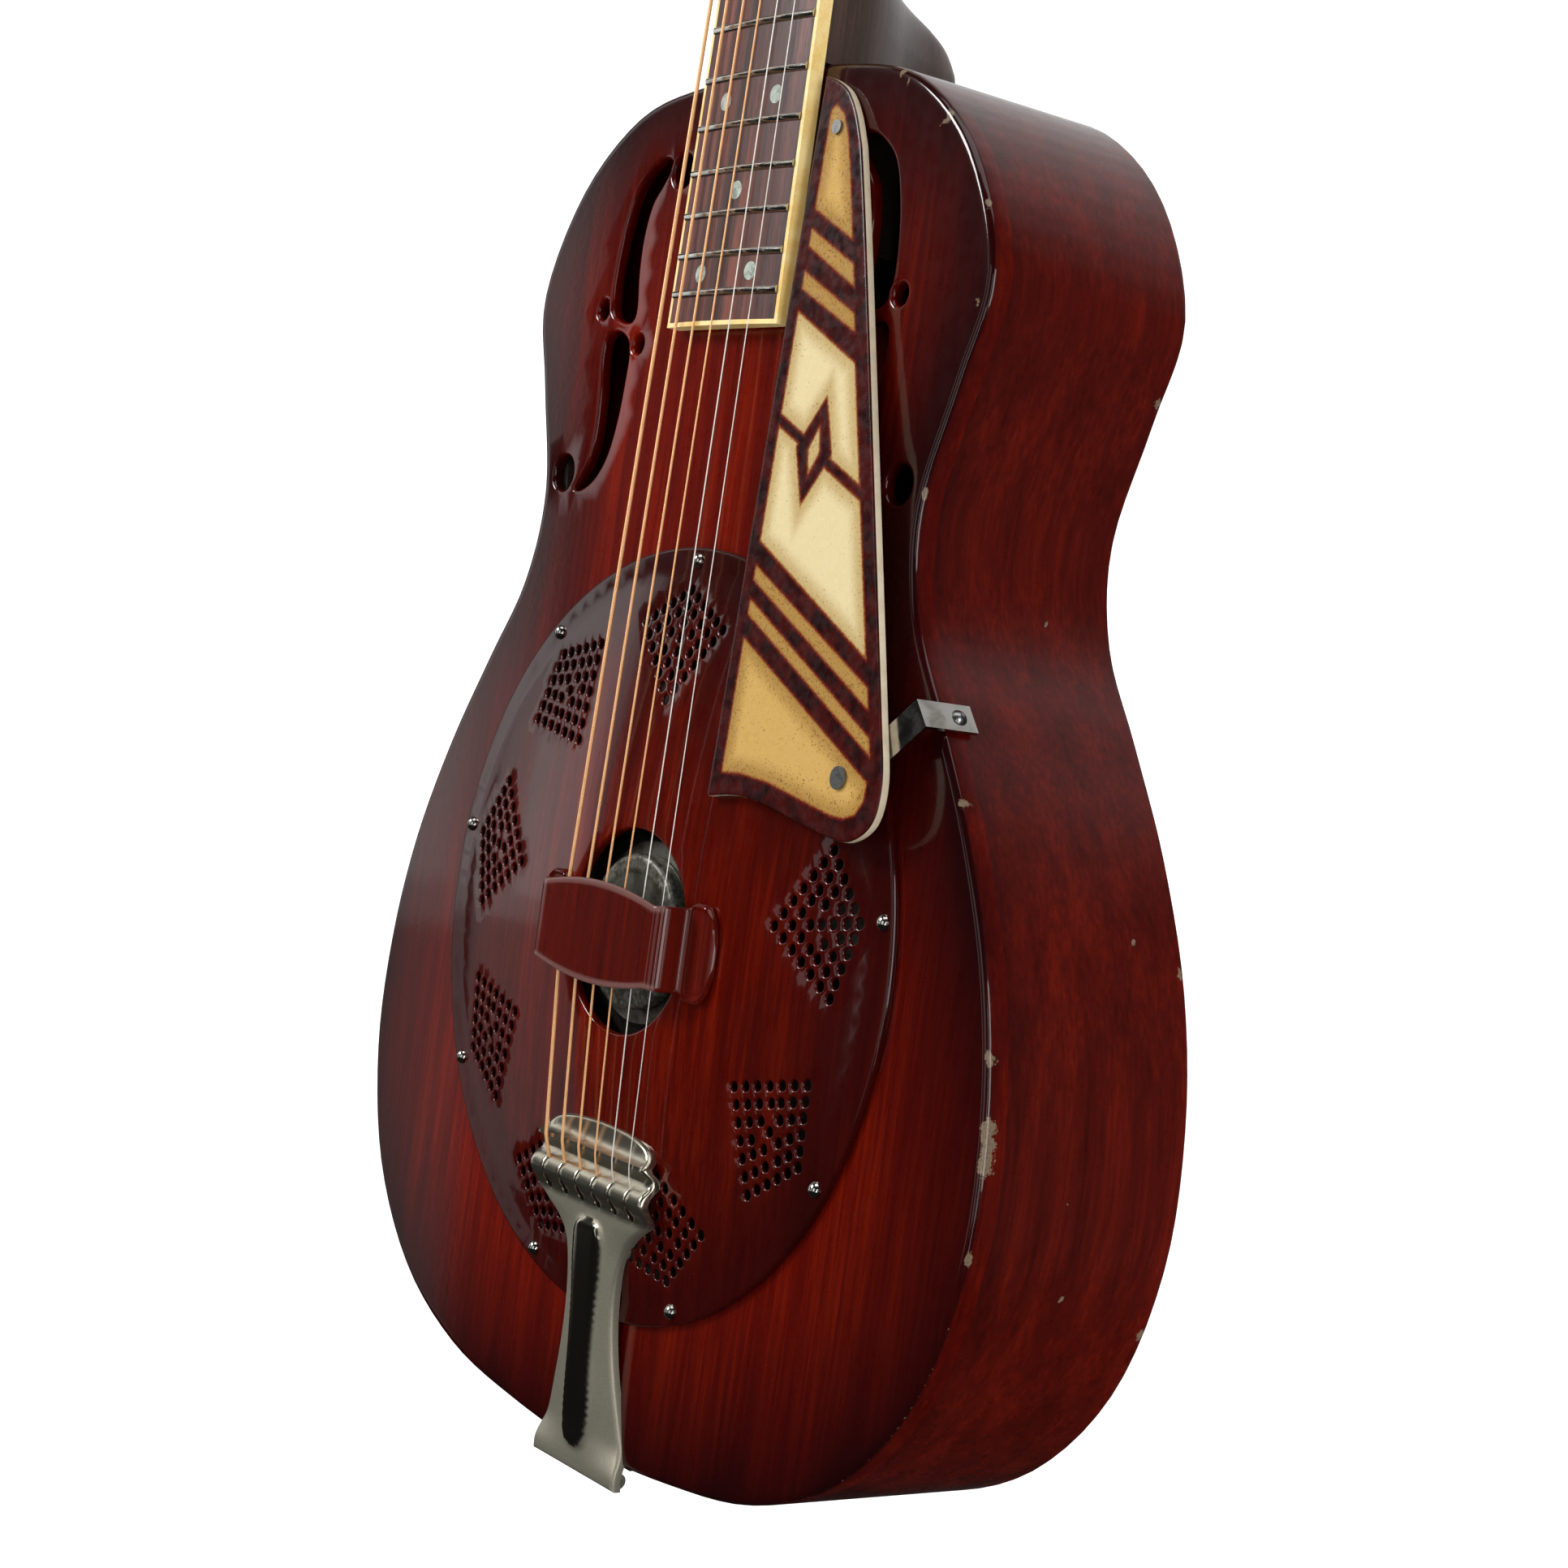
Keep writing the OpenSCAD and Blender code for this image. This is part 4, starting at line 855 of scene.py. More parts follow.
def build_hand_rest():
    """A strap of sheet metal: a barrel-shaped top, square risers and a D-shaped foot with a raised rim."""
    t, top_h, half = 1.6, FRONT_Y - box_mm("hand_rest")[0][1] - 0.8, 35.8
    bend, toe = 3.6, 2.4
    zc = COVER_Z - 1
    foot_h = lambda x: dome(x) + 0.95
    run = []
    for x in np.linspace(0, half - bend, 16)[:-1]:
        run.append((x, top_h, 0))
    for a in np.linspace(90, 0, 9):
        run.append((half - bend + bend * math.cos(math.radians(a)), top_h - bend + bend * math.sin(math.radians(a)), 0))
    foot0 = foot_h(half + toe)
    for h in np.linspace(top_h - bend, foot0 + toe, 9)[1:-1]:
        run.append((half, h, 0))
    for a in np.linspace(180, 270, 7):
        run.append((half + toe + toe * math.cos(math.radians(a)), foot0 + toe + toe * math.sin(math.radians(a)), 0.3))
    x_end, x_round = 51.6, 43.5
    for a in np.linspace(0, 90, 15):
        x = half + toe + (x_end - half - toe) * math.sin(math.radians(a))
        run.append((x, foot_h(x), 1.0))
    right = run
    path = [(-x, h, f) for x, h, f in right[:0:-1]] + right
    columns = 34
    pts = np.array([(x, h) for x, h, _ in path])
    tangent = np.gradient(pts, axis=0)
    normal = np.stack([-tangent[:, 1], tangent[:, 0]], 1)
    normal /= np.linalg.norm(normal, axis=1)[:, None]

    def half_width(x, h, on_foot):
        x = abs(x)
        if on_foot >= 1 or x > half + 0.5:
            u = max(0.0, (x - x_round) / (x_end - x_round))
            if u > 0:
                return 15.8 * max(0.0, 1 - u**2.4) ** (1 / 2.2) + 0.02
            return 13.6 + 2.2 * float(smoothstep((x - half) / 4))
        if h < top_h - bend:
            return 13.6
        return 12.7 + 4.0 * max(0.0, 1 - (x / (half - 1)) ** 2) ** 1.1 + 0.9 * float(smoothstep((x - half + 4) / 4))

    verts, faces, upper, lower, edge_highlight = [], [], [], [], []
    for (x, h, f), n in zip(path, normal):
        w = half_width(x, h, f)
        row_u, row_l = [], []
        for c in range(columns + 1):
            u = math.sin(math.pi / 2 * (2 * c / columns - 1))
            d = min(w * (1 - abs(u)), (x_end - abs(x)) if f >= 1 else 9)
            thin = math.sqrt(max(0.0, 1 - (1 - min(1.0, d / 0.8)) ** 2))
            rim = f * 0.8 * float(smoothstep(1 - abs(d - 1.0) / 1.1)) if f >= 1 else 0
            half_t = t / 2 * thin
            z = zc + u * w
            for row, off in ((row_u, half_t + rim), (row_l, -half_t)):
                row.append(len(verts))
                verts.append(place(x + n[0] * off, z, h + n[1] * off))
                end_gap = half - abs(x) + 0.4 if x < 0 else 9
                # a pale pinkish-grey painted highlight along the top panel's rolled edges and its bent left end
                edge_highlight.append(smoothstep((2.3 - min(w * (1 - abs(u)), end_gap)) / 0.9) if h > top_h - 2 else 0.0)
        upper.append(row_u)
        lower.append(row_l)
    for rows, flip in ((upper, False), (lower, True)):
        for a, b in zip(rows, rows[1:]):
            for i in range(columns):
                q = (a[i], a[i + 1], b[i + 1], b[i])
                faces.append(q[::-1] if flip else q)
    for k in (0, columns):
        for a, b, c, d in zip(upper, upper[1:], lower, lower[1:]):
            q = (a[k], b[k], d[k], c[k])
            faces.append(q if k == 0 else q[::-1])
    for end in (0, -1):
        for i in range(columns):
            q = (upper[end][i], upper[end][i + 1], lower[end][i + 1], lower[end][i])
            faces.append(q[::-1] if end == 0 else q)
    rest = make_object("hand_rest_strap", verts, faces, REST_PAINT, "root", ["hand_rest"], "cover_paint", 70)
    store(rest, "edge", edge_highlight)
    clean(rest)


def clean(obj):
    """Joins points that coincide and makes the faces point outwards."""
    bm = bmesh.new()
    bm.from_mesh(obj.data)
    bmesh.ops.remove_doubles(bm, verts=bm.verts, dist=2e-6)
    bmesh.ops.dissolve_degenerate(bm, edges=bm.edges, dist=1e-7)
    bmesh.ops.recalc_face_normals(bm, faces=bm.faces)
    bm.to_mesh(obj.data)
    bm.free()


# The hand rest's edge colour is pale pinkish-grey: a painted highlight along its rolled edges.
REST_PAINT = lacquered_wood("hand_rest_paint", "5e1208", "470c06", "300706", "6b4a46", grain=0.4)
build_hand_rest()

# ---- pickguard ----

GUARD_T = 3.2
GUARD_Z0 = 277.0
GUARD_SLOPE = math.atan(0.042)
GUARD_TOP = [(34.6, 279.6), (41, 277.6), (48, 273.5), (54, 266), (59.5, 255.5)]
GUARD_RIGHT = [(59.5, 255.5), (70, 225.4), (94.8, 150.8), (118.6, 79)]
GUARD_LOW = [(118.6, 79), (123, 64), (121.6, 52), (113, 45.6), (102, 45.4), (84, 48.4), (67, 51.6), (52, 52.4),
             (37.4, 50.6)]


def guard_point(x, z, h):
    c, s = math.cos(GUARD_SLOPE), math.sin(GUARD_SLOPE)
    return Vector((x, -h * c + (z - GUARD_Z0) * s + FRONT_Y - 0.1, h * s + (z - GUARD_Z0) * c + GUARD_Z0)) * MM


def panel_edge(z):
    """The left side of every cream panel, parallel to the guard's straight edge."""
    return 40.4 + (276 - z) * 0.0125


def guard_panels():
    """The corners of the cream panels, and of the pale middle one."""
    side = panel_edge
    first = [(side(268), 268), (42.9, 270.2), (48.1, 266.5), (52.3, 259), (56.5, 247.5), (63.8, 225.7),
             (side(236.8), 236.8)]
    stripes = [
        [(side(231), 231), (66.2, 218.6), (68.8, 210.8), (side(224.8), 224.8)],
        [(side(217.6), 217.6), (71.0, 203.2), (73.1, 196.8), (side(211.5), 211.5)],
        [(side(124.6), 124.6), (109.0, 90.9), (111.3, 83.9), (side(119.4), 119.4)],
        [(side(113.9), 113.9), (113.8, 76.4), (115.8, 70.5), (side(108.6), 108.6)],
    ]
    main = [(side(205), 205), (75.7, 187.9), (106.2, 98.5), (side(131.7), 131.7)]
    low = [(116.4, 63.4), (116.2, 57.6), (113.2, 53.3), (108, 51.6), (101.5, 51.8), (85, 54.8), (68, 58), (53, 59.2),
           (side(58.6), 58.6)]
    last = [(side(101.6), 101.6)] + low
    return [first] + stripes + [last], main


def polygon_depth(points, corners):
    """Distance inside a polygon, negative outside it."""
    loop = np.array(corners, float)
    d = edge_distance(points, [loop])
    return np.where(inside(points, [loop]), d, -d)


def guard_pattern(points):
    """(depth into a cream panel, share of the pale middle panel) at each point."""
    panels, main = guard_panels()
    depth = np.full(len(points), -9.0)
    for p in panels:
        depth = np.maximum(depth, polygon_depth(points, p))
    pale = polygon_depth(points, main)
    # a plain lozenge with a slanting bar through it crosses the middle panel
    centre, slope = np.array([62.3, 160.6]), -0.47
    across = points - centre
    bar = abs(across[:, 1] - slope * across[:, 0]) / math.hypot(1, slope) - 1.5
    spin = math.radians(-7)
    u = across[:, 0] * math.cos(spin) + across[:, 1] * math.sin(spin)
    v = -across[:, 0] * math.sin(spin) + across[:, 1] * math.cos(spin)
    lozenge = (abs(u) / 9.2 + abs(v) / 16.5 - 1) * 8.0
    heart = (1 - abs(u) / 3.4 - abs(v) / 8.6) * 3.0
    mark = np.maximum(np.minimum(bar, lozenge), heart)
    pale = np.minimum(pale, mark)
    return np.maximum(depth, pale), (pale > -2).astype(float)


def celluloid():
    g = Graph("guard_celluloid")
    depth = g.attribute("panel")
    grit = g.noise(0.75, 3, rough=0.7)
    shaken = g.plus(depth, g.times(g.math("SUBTRACT", grit, 0.5), 1.3))
    mottle = g.noise(7, 3)
    dark = g.mix(g.span(mottle, 0.35, 0.65), "1e0405", "3d0a07")
    tan = g.mix(g.attribute("pale"), "a27d40", "b89f6c")
    cream = g.mix(g.attribute("pale"), "c29c58", "d6c598")
    body = g.mix(g.span(depth, 1.2, 7.5), tan, cream)
    spots = g.math("SUBTRACT", g.noise(0.62, 2), g.times(g.span(depth, 0, 10), 0.07))
    spots = g.math("SUBTRACT", spots, g.times(g.attribute("pale"), 0.05))
    body = g.mix(g.span(spots, 0.565, 0.64, 0, 0.85), body, "6a4420")
    fringe = g.mix(g.span(shaken, -0.1, 0.5), "5a1206", "8f5c2c")
    colour = g.mix(g.span(shaken, -0.75, -0.25), dark, fringe)
    colour = g.mix(g.span(shaken, 0.35, 1.0), colour, body)
    edge = g.span(g.attribute("rim"), 0.42, 0.6)
    core = g.mix(g.noise(5, 3), "d9ccb4", "b6a58a")
    colour = g.mix(edge, colour, core)
    g.set(Base_Color=colour, Roughness=g.span(g.noise(3, 3), 0.3, 0.7, 0.2, 0.32))
    g.set(Coat_Weight=0.15, Coat_Roughness=0.1)
    g.set(Normal=g.bump(g.noise(14, 2), 0.04, 0.5), Specular_IOR_Level=0.22)
    return g.mat


def build_guard():
    corner = [(37.4, 50.6), (34.62, 276.0)]
    line = np.vstack([curve_through(GUARD_TOP, 10, False)[:-1], curve_through(GUARD_RIGHT, 14, False)[:-1],
                      curve_through(GUARD_LOW, 8, False)[:-1], np.linspace(corner[0], corner[1], 60)[:-1]])
    low_screw, top_screw = circle(103, 63.3, 1.35, 20), circle(46, 262.3, 1.35, 20)
    edge = rounded(0.7, 4) + [(0, 1.2), (0, 2.4), (0.25, 3.05), (0.7, None)]
    hole = [(0.3, 0), (0.1, 0.1), (0, 0.3), (0, 2.9), (0.3, None)]
    flat = lambda x, z: GUARD_T
    loops, profiles = [resample(line, 1.2), low_screw, top_screw], [edge, hole, hole]
    verts, faces = plate(loops, profiles, flat, lambda x, z: 0, 0.95, guard_point)
    guard = make_object("pickguard_plate", verts, faces, celluloid(), "root", ["pickguard"], "guard_plastic", 50)
    co = points_mm(guard)
    c, s = math.cos(GUARD_SLOPE), math.sin(GUARD_SLOPE)
    dy, dz = co[:, 1] - FRONT_Y + 0.1, co[:, 2] - GUARD_Z0
    depth = GUARD_T + (dy * c - dz * s)
    plan = np.stack([co[:, 0], dy * s + dz * c + GUARD_Z0], 1)
    panel, pale = guard_pattern(plan)
    for name, value in (("panel", panel), ("pale", pale), ("rim", depth)):
        store(guard, name, value)


build_guard()

# ---- tailpiece ----

TAIL_X = [(i - 2.5) * 10 for i in range(6)]
TAIL_LINE = [(-177.0, 3.4), (-172.0, 3.9), (-168, 4.0), (-160, 4.2), (-145, 5.4), (-120, 7.2), (-100, 8.9),
             (-92, 9.6), (-88, 10.2), (-86, 11.2), (-84, 13.0), (-81, 14.3), (-78, 13.2), (-75.8, 10.8), (-74, 10.2), (-72.2, 11.4), (-71, 13.0),
             (-70, 13.8), (-69, 13.2), (-67.4, 11.3), (-65, 10.4), (-62, 10.0)]
TAIL_CURVE = curve_through(TAIL_LINE, 8, False)
RIB_HALF = [(-169, 0.5), (-168, 3.4), (-165, 6.4), (-156, 7.8), (-138, 7.4), (-120, 7.8), (-108, 8.8), (-99, 8.8),
            (-95, 7.4), (-93, 4.4), (-92, 0.5)]
RIB_CURVE = curve_through(RIB_HALF, 8, False)
TAIL_HALF = [(24.9, -176.7), (24.6, -172), (23.8, -167), (20.6, -157), (15.8, -138), (13.9, -121), (15.2, -107),
             (20, -97.5), (28, -91.2), (33.2, -88), (34, -84), (33.8, -78), (33.2, -73), (31.8, -68.4), (29, -64.9),
             (24, -62.7), (14, -61.2), (0.6, -60.6)]


def tail_h(x, z):
    """Height of the tailpiece's face: a flat-topped rib up a falling arm, a slotted roll, a groove and a raised bar."""
    h = float(np.interp(z, TAIL_CURVE[:, 0], TAIL_CURVE[:, 1]))
    w = float(np.interp(z, RIB_CURVE[:, 0], RIB_CURVE[:, 1]))
    reach = float(smoothstep((-87.5 - z) / 7))
    rib = float(smoothstep((w + 0.9 - abs(x)) / 2.6)) * float(smoothstep((w - 0.5) / 5))
    rib *= float(smoothstep((-90.5 - z) / 5))
    fall = max(0.0, abs(x) - 5.5) * 0.13 + max(0.0, abs(x) - 11) * 0.05
    fall *= float(smoothstep((-90 - z) / 14)) * float(smoothstep((z + 174) / 12))
    return h + reach * (1.7 * rib - fall)


def keyhole(x):
    """A string slot over the roll that opens into an oval hole."""
    right = [(x + 0.4, z) for z in (-77.2, -79, -81, -82.6)]
    left = [(x - 0.4, z) for z in (-82.6, -81, -79, -77.2)]
    arc = [(x + 1.75 * math.sin(a), -85.4 + 2.6 * math.cos(a)) for a in np.linspace(0.3, 2 * math.pi - 0.3, 24)]
    return resample(np.array(right + arc + left), 0.42)


def build_tailpiece():
    half = curve_through(TAIL_HALF, 6, False)
    ring = np.vstack([half, (half * [-1, 1])[::-1]])
    loops = [resample(ring, 1.3)] + [keyhole(x) for x in TAIL_X]
    skirt = rounded(1.3, 5) + [(0, 2.6), (0, 3.4), (1.1, 3.4), (1.2, 1.9), (1.3, None)]
    slot = rounded(0.2, 2) + [(0, 1.0), (0.2, None)]
    verts, faces = plate(loops, [skirt] + [slot] * 6, tail_h, lambda x, z: tail_h(x, z) - 1.3, 1.5)
    around = np.linspace(0, 2 * math.pi, 28, endpoint=False)
    for k in (-2, 0, 2):
        x0, x1 = (k - 0.5) * 9.8 + 0.1, (k + 0.5) * 9.8 - 0.1
        barrel = []
        for x, r in ((x0, 2.3), (x0 + 0.25, 2.6), (x1 - 0.25, 2.6), (x1, 2.3)):
            ring = [(x, HINGE_Y + r * math.cos(a), HINGE_Z + r * math.sin(a)) for a in around]
            barrel.append([Vector(p) * MM for p in ring])
        join(verts, faces, *loft(barrel))
    tail = make_object("tailpiece_stamping", verts, faces, TAIL_NICKEL, "tailpiece", ["tailpiece"], "nickel", sharp=40)
    clean(tail)
    co = points_mm(tail)
    w = np.interp(co[:, 2], RIB_CURVE[:, 0], RIB_CURVE[:, 1])
    rib = smoothstep((w + 0.2 - abs(co[:, 0])) / 1.2) * (w > 0.6)
    store(tail, "polish", np.maximum(rib, 0.72 * smoothstep((co[:, 2] + 91) / 4)))


def worn_nickel():
    """Plating that is bright where it stands proud and dull on the flanks of the arm."""
    g = Graph("warm_nickel")
    polish = g.attribute("polish")
    fine, smudge = g.noise(0.5, 3), g.noise(14, 4)
    dull = g.mix(fine, "b3ae9e", "8f8a79")
    bright = g.mix(smudge, "cfc9b8", "a9a18d")
    g.set(Base_Color=g.mix(polish, dull, bright), Metallic=g.span(polish, 0, 1, 0.8, 1.0))
    g.set(Roughness=g.plus(g.span(polish, 0, 1, 0.46, 0.07), g.times(smudge, 0.1)))
    g.set(Normal=g.bump(fine, 0.012, g.span(polish, 0, 1, 0.8, 0.1)))
    return g.mat


TAIL_NICKEL = worn_nickel()
build_tailpiece()

# ---- neck ----


def board_half(z):
    wide, narrow = 59.2 / 2, 46 / 2
    return wide + (narrow - wide) * z / NUT_Z


HEEL = [(285.2, 75.5), (299, 75.5), (304, 73.6), (309.5, 69), (313.5, 62.5), (315.8, 57), (317.4, 51), (318.4, 45.5),
        (320, 39.5), (322.6, 33), (326, 27.5), (331, 23.2), (338, 20.2), (348, 18.6)]
HEEL_CURVE = curve_through(HEEL, 6, False)


def build_neck():
    """The shaft and heel as one loft, read off by the distance along the neck."""
    stations = [p[0] for p in HEEL_CURVE] + [356, 370, 400, 450, 500, 560, 610, 622, 630, 634, 638]
    sections = []
    count = 44
    for z in stations:
        along = z - JOIN_Z
        half = board_half(along) - 0.4
        heel = float(np.interp(z, HEEL_CURVE[:, 0], HEEL_CURVE[:, 1])) if z < 348 else 0
        shaft = 17.6 - 4.2 * (z - 340) / 290 if z > 340 else 17.8
        deep = max(heel, shaft) if z < 348 else shaft
        ring = []
        for k in range(count):
            a = math.pi * k / (count - 1)
            x, d = half * math.cos(a), math.sin(a) ** 0.85 * deep
            slim = 1 - 0.62 * float(smoothstep((d - 14) / 46))
            ring.append(neck_point(x * slim, d, along))
        sections.append(ring)
    verts, faces = loft(sections)
    neck = make_object("neck_shaft", verts, faces, NECK_WOOD, replaces=["neck"], slot="neck_wood", sharp=50)
    clean(neck)
    z0, z1 = box_mm("fretboard")[0][2], 290.0
    rows = []
    for z in np.linspace(z0 + 3, z1, 10):
        along = z - JOIN_Z
        h0 = neck_point(0, 0, along)[1]
        half = board_half(along) - 0.8
        face = FRONT_Y * MM - 1e-5
        corners = ((-1, h0), (1, h0), (1, face), (-1, face))
        rows.append([Vector((sx * half * MM, y, z * MM)) for sx, y in corners])
    verts, faces = loft(rows)
    tongue = make_object("neck_tongue", verts, faces, NECK_WOOD, slot="neck_wood")
    clean(tongue)
    build_head()


def build_head():
    right = np.vstack([curve_through([(23, 0), (26.5, 8), (31.5, 18), (33, 40), (34.5, 100), (36, 138)], 8, False)[:-1],
                       curve_through([(36, 138), (30, 145), (16, 147.5), (7, 151), (0, 152)], 8, False)])
    ring = np.vstack([right, (right * [-1, 1])[::-1][1:]])
    posts = [(sx * 21, z) for sx in (-1, 1) for z in (32, 67, 102)]
    loops = [resample(ring, 2.0)] + [circle(x, z, 4.45, 28) for x, z in posts]
    edge = [(1.6, 0), (0.02, 0.0), (0, 0.05), (0, 7), (0, 12.4), (0.5, 13.5), (1.6, None)]
    hole = [(0.2, 0), (0, 0.05), (0, 13.9), (0.2, None)]
    to_head = lambda x, z, h: head_point(x, 14 - h, z)
    verts, faces = plate(loops, [edge] + [hole] * 6, lambda x, z: 14.0, lambda x, z: 0.0, 6, to_head)
    head = make_object("headstock", verts, faces, NECK_WOOD, slot="neck_wood", sharp=40)
    clean(head)


build_neck()

# ---- strings ----

STRING_R = [0.66, 0.53, 0.42, 0.32, 0.216, 0.165]
TURNS = 3  # of each string on its post


def tube(path, radii, sides=10):
    """A round bar along a path, with flat ends."""
    pts = [Vector(p) for p in path]
    up = Vector((0.0, 1.0, 0.0))
    rings = []
    for k, p in enumerate(pts):
        ahead = (pts[min(k + 1, len(pts) - 1)] - pts[max(k - 1, 0)]).normalized()
        side = ahead.cross(up).normalized()
        up = side.cross(ahead).normalized()
        r = radii if np.isscalar(radii) else radii[k]
        around = np.linspace(0, 2 * math.pi, sides, endpoint=False)
        rings.append([p + (side * math.cos(a) + up * math.sin(a)) * r * MM for a in around])
    return loft(rings)


def build_strings():
    for i, r in enumerate(STRING_R):
        n = i + 1
        side = -1 if n < 4 else 1
        row = n - 1 if n < 4 else 6 - n
        x_tail, x_bridge, x_nut = TAIL_X[i], (i / 5 - 0.5) * 56.4, (i / 5 - 0.5) * 39
        over_roll = ((-82.4, 8.6), (-81.2, 10.0), (-79.6, 11.3), (-78, 12.1), (-76, 12.8))
        points = [place(x_tail, z, h) for z, h in over_roll]
        points += [place(x_tail, -73.4, 13.6), place(x_tail, -70, 14.0 + r)]
        bridge = place(x_bridge, 0, 17.5 + r * 0.3)
        rest = points[-1]
        points += [rest.lerp(bridge, t) for t in np.linspace(0.08, 1, 14)]
        nut = neck_point(x_nut, -8.6, NUT_Z + 0.5)
        points += [bridge.lerp(nut, t) for t in np.linspace(0.02, 1, 30)]
        points.append(neck_point(x_nut, -8.6, NUT_Z + 4.8))
        wrap_r, post_z = 3.2 + r, 32 + 35 * row
        reach = (side * 21 - x_nut, post_z)
        bend = math.atan2(reach[0], reach[1]) - side * math.asin(wrap_r / math.hypot(*reach))
        for k in range(TURNS * 20):
            a = bend - side * 2 * math.pi * k / 20
            drop = 9 + 2.1 * r * k / 20
            x = side * 21 - side * wrap_r * math.cos(a)
            z = post_z + side * wrap_r * math.sin(a)
            points.append(head_point(x, -(drop + 0.2), z))
        verts, faces = tube(points, r, 12)
        ball = tube([place(x_tail, -82.6, h) for h in (6.2, 6.6, 8.4, 8.8)], [1.2, 1.7, 1.7, 1.2], 16)
        join(verts, faces, *ball)
        material = BRONZE if i < 4 else PLAIN_STRING
        node = {4: "second_string", 5: "first_string"}.get(i, "wound_strings")
        slot = "bronze" if i < 4 else "plain_steel"
        string = make_object(f"string_{n}", verts, faces, material, None, [node], slot)
        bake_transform(string)


build_strings()

# ---- stage, light and camera ----


def seen_by_camera(tree):
    return tree.nodes.new("ShaderNodeLightPath").outputs["Is Camera Ray"]


def backdrop_paper():
    """White paper: bright to the camera, dim in reflections but for a band high on the wall that glows only in
    reflections as a painted reflection for the shoulder's sheen, and clear from behind.
    """
    g = Graph("backdrop_paper")
    tree = g.tree
    paper = g.mix(g.noise(90, 2), (0.62, 0.62, 0.62, 1), (0.58, 0.58, 0.58, 1))
    glossy = tree.nodes.new("ShaderNodeLightPath").outputs["Is Glossy Ray"]
    g.set(Base_Color=g.mix(glossy, paper, (0, 0, 0, 1)), Roughness=0.9)
    height = g.coordinate(2)
    # painted reflection: a band high on the wall, brighter towards the left, that glows only in reflections
    glow = g.times(g.span(height, 320, 480), g.span(g.coordinate(0), 60, 640, 0.7, 0))
    mirrored = g.plus(g.span(height, -520, -250, 0.01, 0.05), glow)
    g.set(Specular_IOR_Level=0.0, Emission_Color=(1, 1, 1, 1))
    shown = g.times(seen_by_camera(tree), 0.62)
    g.set(Emission_Strength=g.plus(shown, g.times(glossy, mirrored)))
    clear, both = tree.nodes.new("ShaderNodeBsdfTransparent"), tree.nodes.new("ShaderNodeMixShader")
    tree.links.new(tree.nodes.new("ShaderNodeNewGeometry").outputs["Backfacing"], both.inputs[0])
    tree.links.new(g.bsdf.outputs[0], both.inputs[1])
    tree.links.new(clear.outputs[0], both.inputs[2])
    tree.links.new(both.outputs[0], g.out.inputs[0])
    return g.mat


def backdrop():
    """A pale sweep: a wall behind the guitar that curves into a floor below it."""
    back_y, floor_z, r, wide = 0.45, cad_box[0].z - 0.42, 0.25, 5.0
    line = [(back_y, 3.5)] + [
        (back_y - r + r * math.cos(a), floor_z + r - r * math.sin(a)) for a in np.linspace(0, math.pi / 2, 16)
    ] + [(-4.0, floor_z)]
    mesh = bpy.data.meshes.new("backdrop")
    verts = [(x, y, z) for y, z in line for x in (-wide, wide)]
    mesh.from_pydata(verts, [], [(2 * k, 2 * k + 2, 2 * k + 3, 2 * k + 1) for k in range(len(line) - 1)])
    mesh.shade_smooth()
    mesh.materials.append(backdrop_paper())
    add_object("backdrop", mesh)


def studio_world():
    world = bpy.data.worlds.new("studio")
    bpy.context.scene.world = world
    world.use_nodes = True
    tree = world.node_tree
    background = tree.nodes["Background"]
    background.inputs[0].default_value = (1, 1, 1, 1)
    path, level = tree.nodes.new("ShaderNodeLightPath"), tree.nodes.new("ShaderNodeMapRange")
    tree.links.new(path.outputs["Is Glossy Ray"], level.inputs["Value"])
    level.inputs["To Min"].default_value = 0.32
    level.inputs["To Max"].default_value = 0.01
    tree.links.new(level.outputs[0], background.inputs[1])


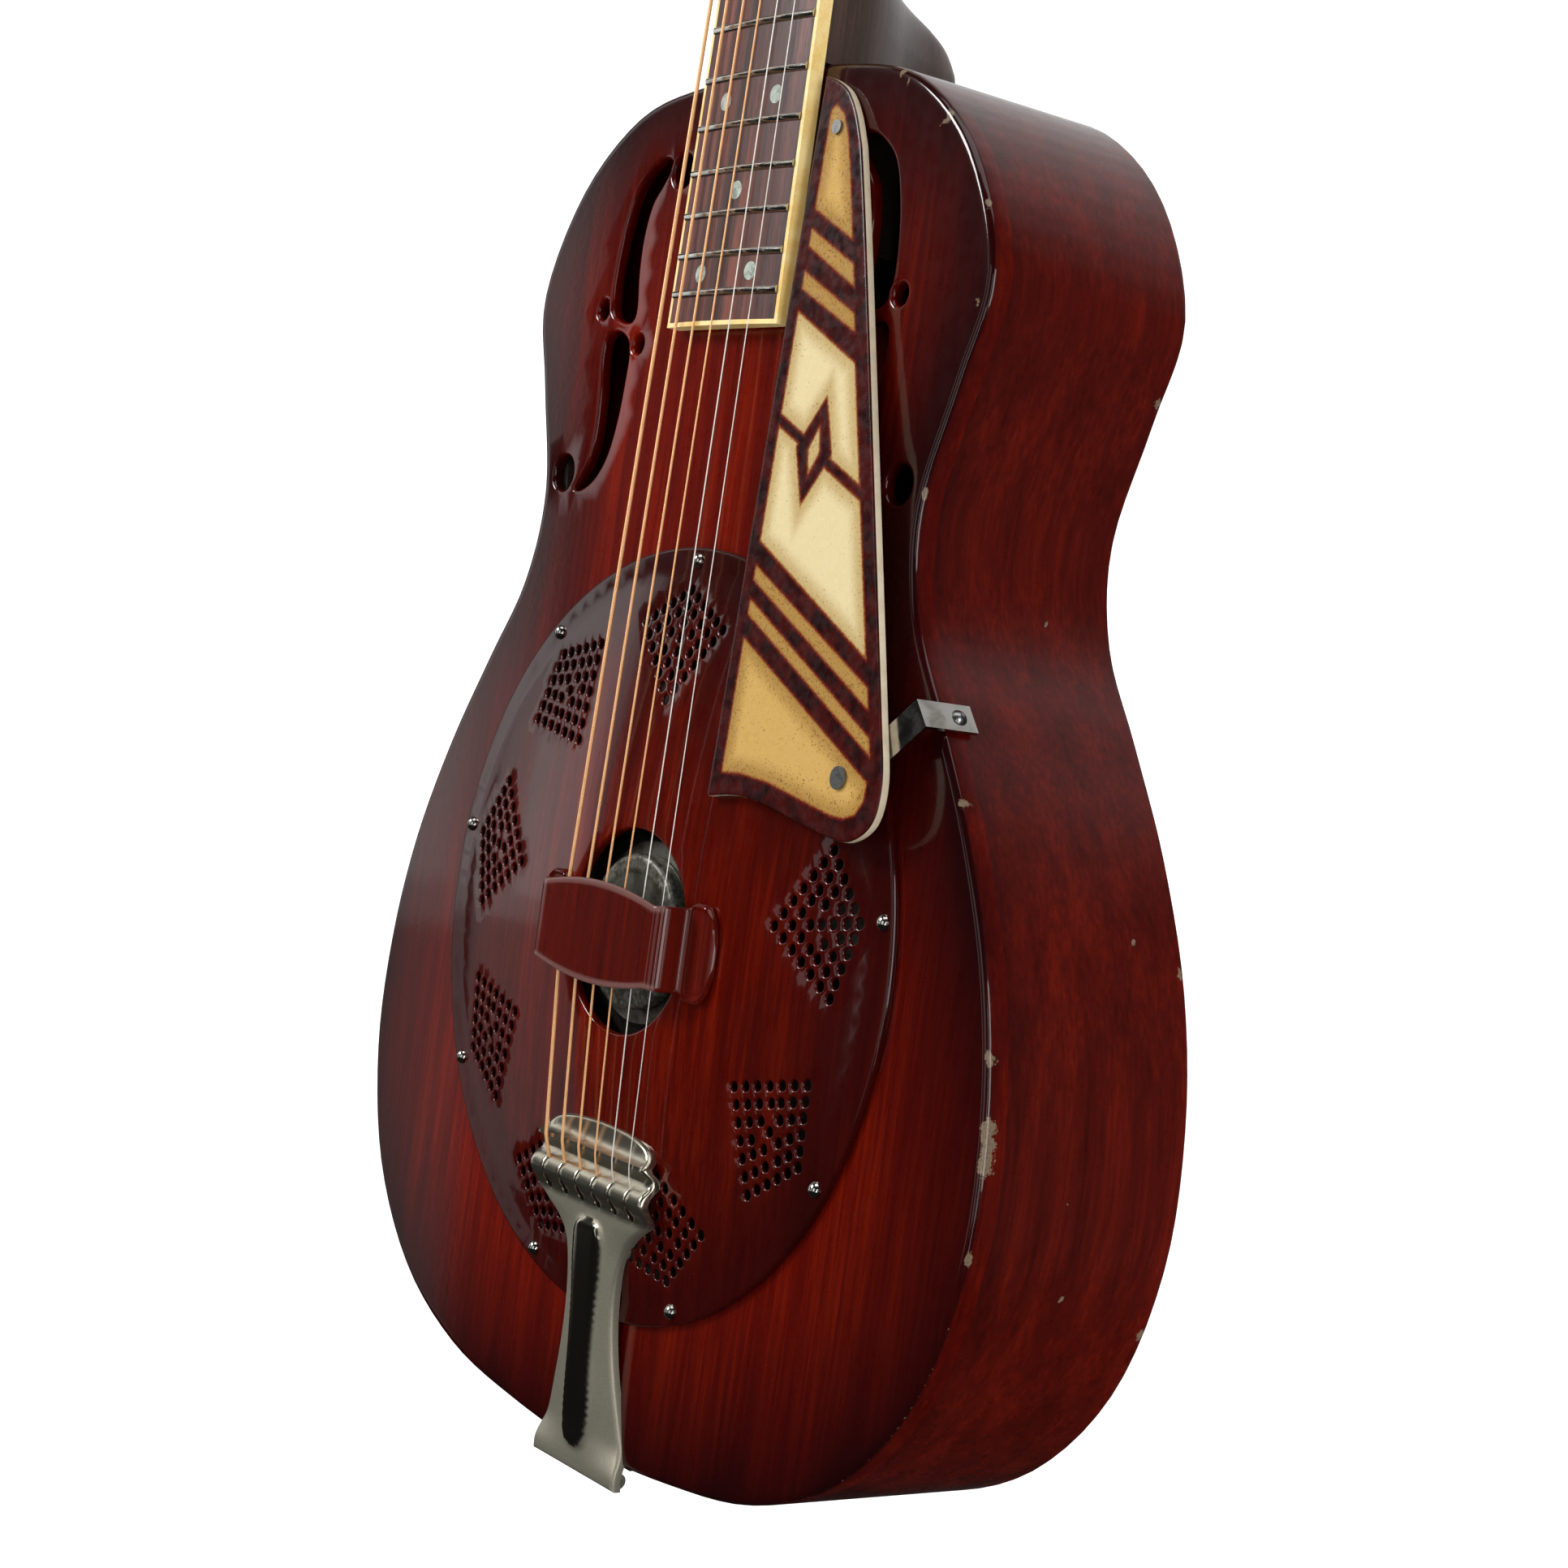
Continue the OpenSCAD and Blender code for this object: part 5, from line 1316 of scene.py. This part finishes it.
def area_light(name, at, target, size, power, colour=(1, 1, 1)):
    data = bpy.data.lights.new(name, "AREA")
    data.shape = "RECTANGLE"
    data.size, data.size_y = size
    data.energy = power
    data.color = colour
    light = add_object(name, data)
    light.location = at
    light.rotation_mode = "QUATERNION"
    light.rotation_quaternion = (Vector(target) - Vector(at)).to_track_quat("-Z", "Y")


def side_box(low, high, bottom, level):
    """A tall softbox at the left, between two angles forward of the guitar's face, with a given brightness."""
    away, top = 1.7, 1.75
    middle, half = math.radians((low + high) / 2), math.radians((high - low) / 2)
    wide, tall = 2 * away * math.tan(half), top - bottom
    level_z = (top + bottom) / 2
    at = (-away * math.cos(middle), -away * math.sin(middle), level_z)
    area_light(f"side_box_{low}", at, (0, 0, level_z), (wide, tall), level * math.pi * wide * tall)


def stage_and_light():
    backdrop()
    studio_world()
    area_light("key", (-1.3, -2.0, 1.35), (0, 0, 0.1), (0.8, 0.8), 50)
    area_light("front", (0.5, -2.4, 0.2), (0, 0, 0.1), (1.0, 1.6), 5)
    side_box(16, 31.5, -0.85, 0.3)
    side_box(17, 32, -0.17, 0.38)
    side_box(22, 30, -0.13, 0.45)
    area_light("left_front", (-1.0, -2.15, -0.2), (0, 0, 0.0), (0.45, 2.0), 2.6)
    area_light("right_fill", (2.35, -0.4, 0.35), (0, 0, 0.05), (0.9, 1.4), 21)
    area_light("edge", (1.7, -1.25, 0.1), (0, 0, 0.1), (0.1, 1.2), 2.4)
    area_light("floor_strip", (1.15, -1.2, -0.55), (0.15, -0.08, 0.15), (0.1, 1.0), 2.2)
    area_light("top", (0.5, -0.4, 2.1), (0, 0, 0.1), (2.4, 1.3), 20)


def camera():
    """The camera stands low on the treble side, close to the body, with the neck running out of the frame."""
    data = bpy.data.cameras.new("camera")
    data.sensor_width = 36
    data.lens = 63.74
    data.clip_start = 0.01
    cam = add_object("camera", data)
    right = Vector((0.58684, 0.79788, 0.13790))
    up = Vector((-0.10884, -0.09103, 0.98988))
    behind = right.cross(up)
    cam.matrix_world = Matrix(
        [(right[k], up[k], behind[k], (0.7501, -0.5917, 0.0870)[k]) for k in range(3)] + [(0, 0, 0, 1)]
    )
    bpy.context.scene.camera = cam


stage_and_light()
camera()
bpy.context.scene.view_settings.view_transform = "Standard"
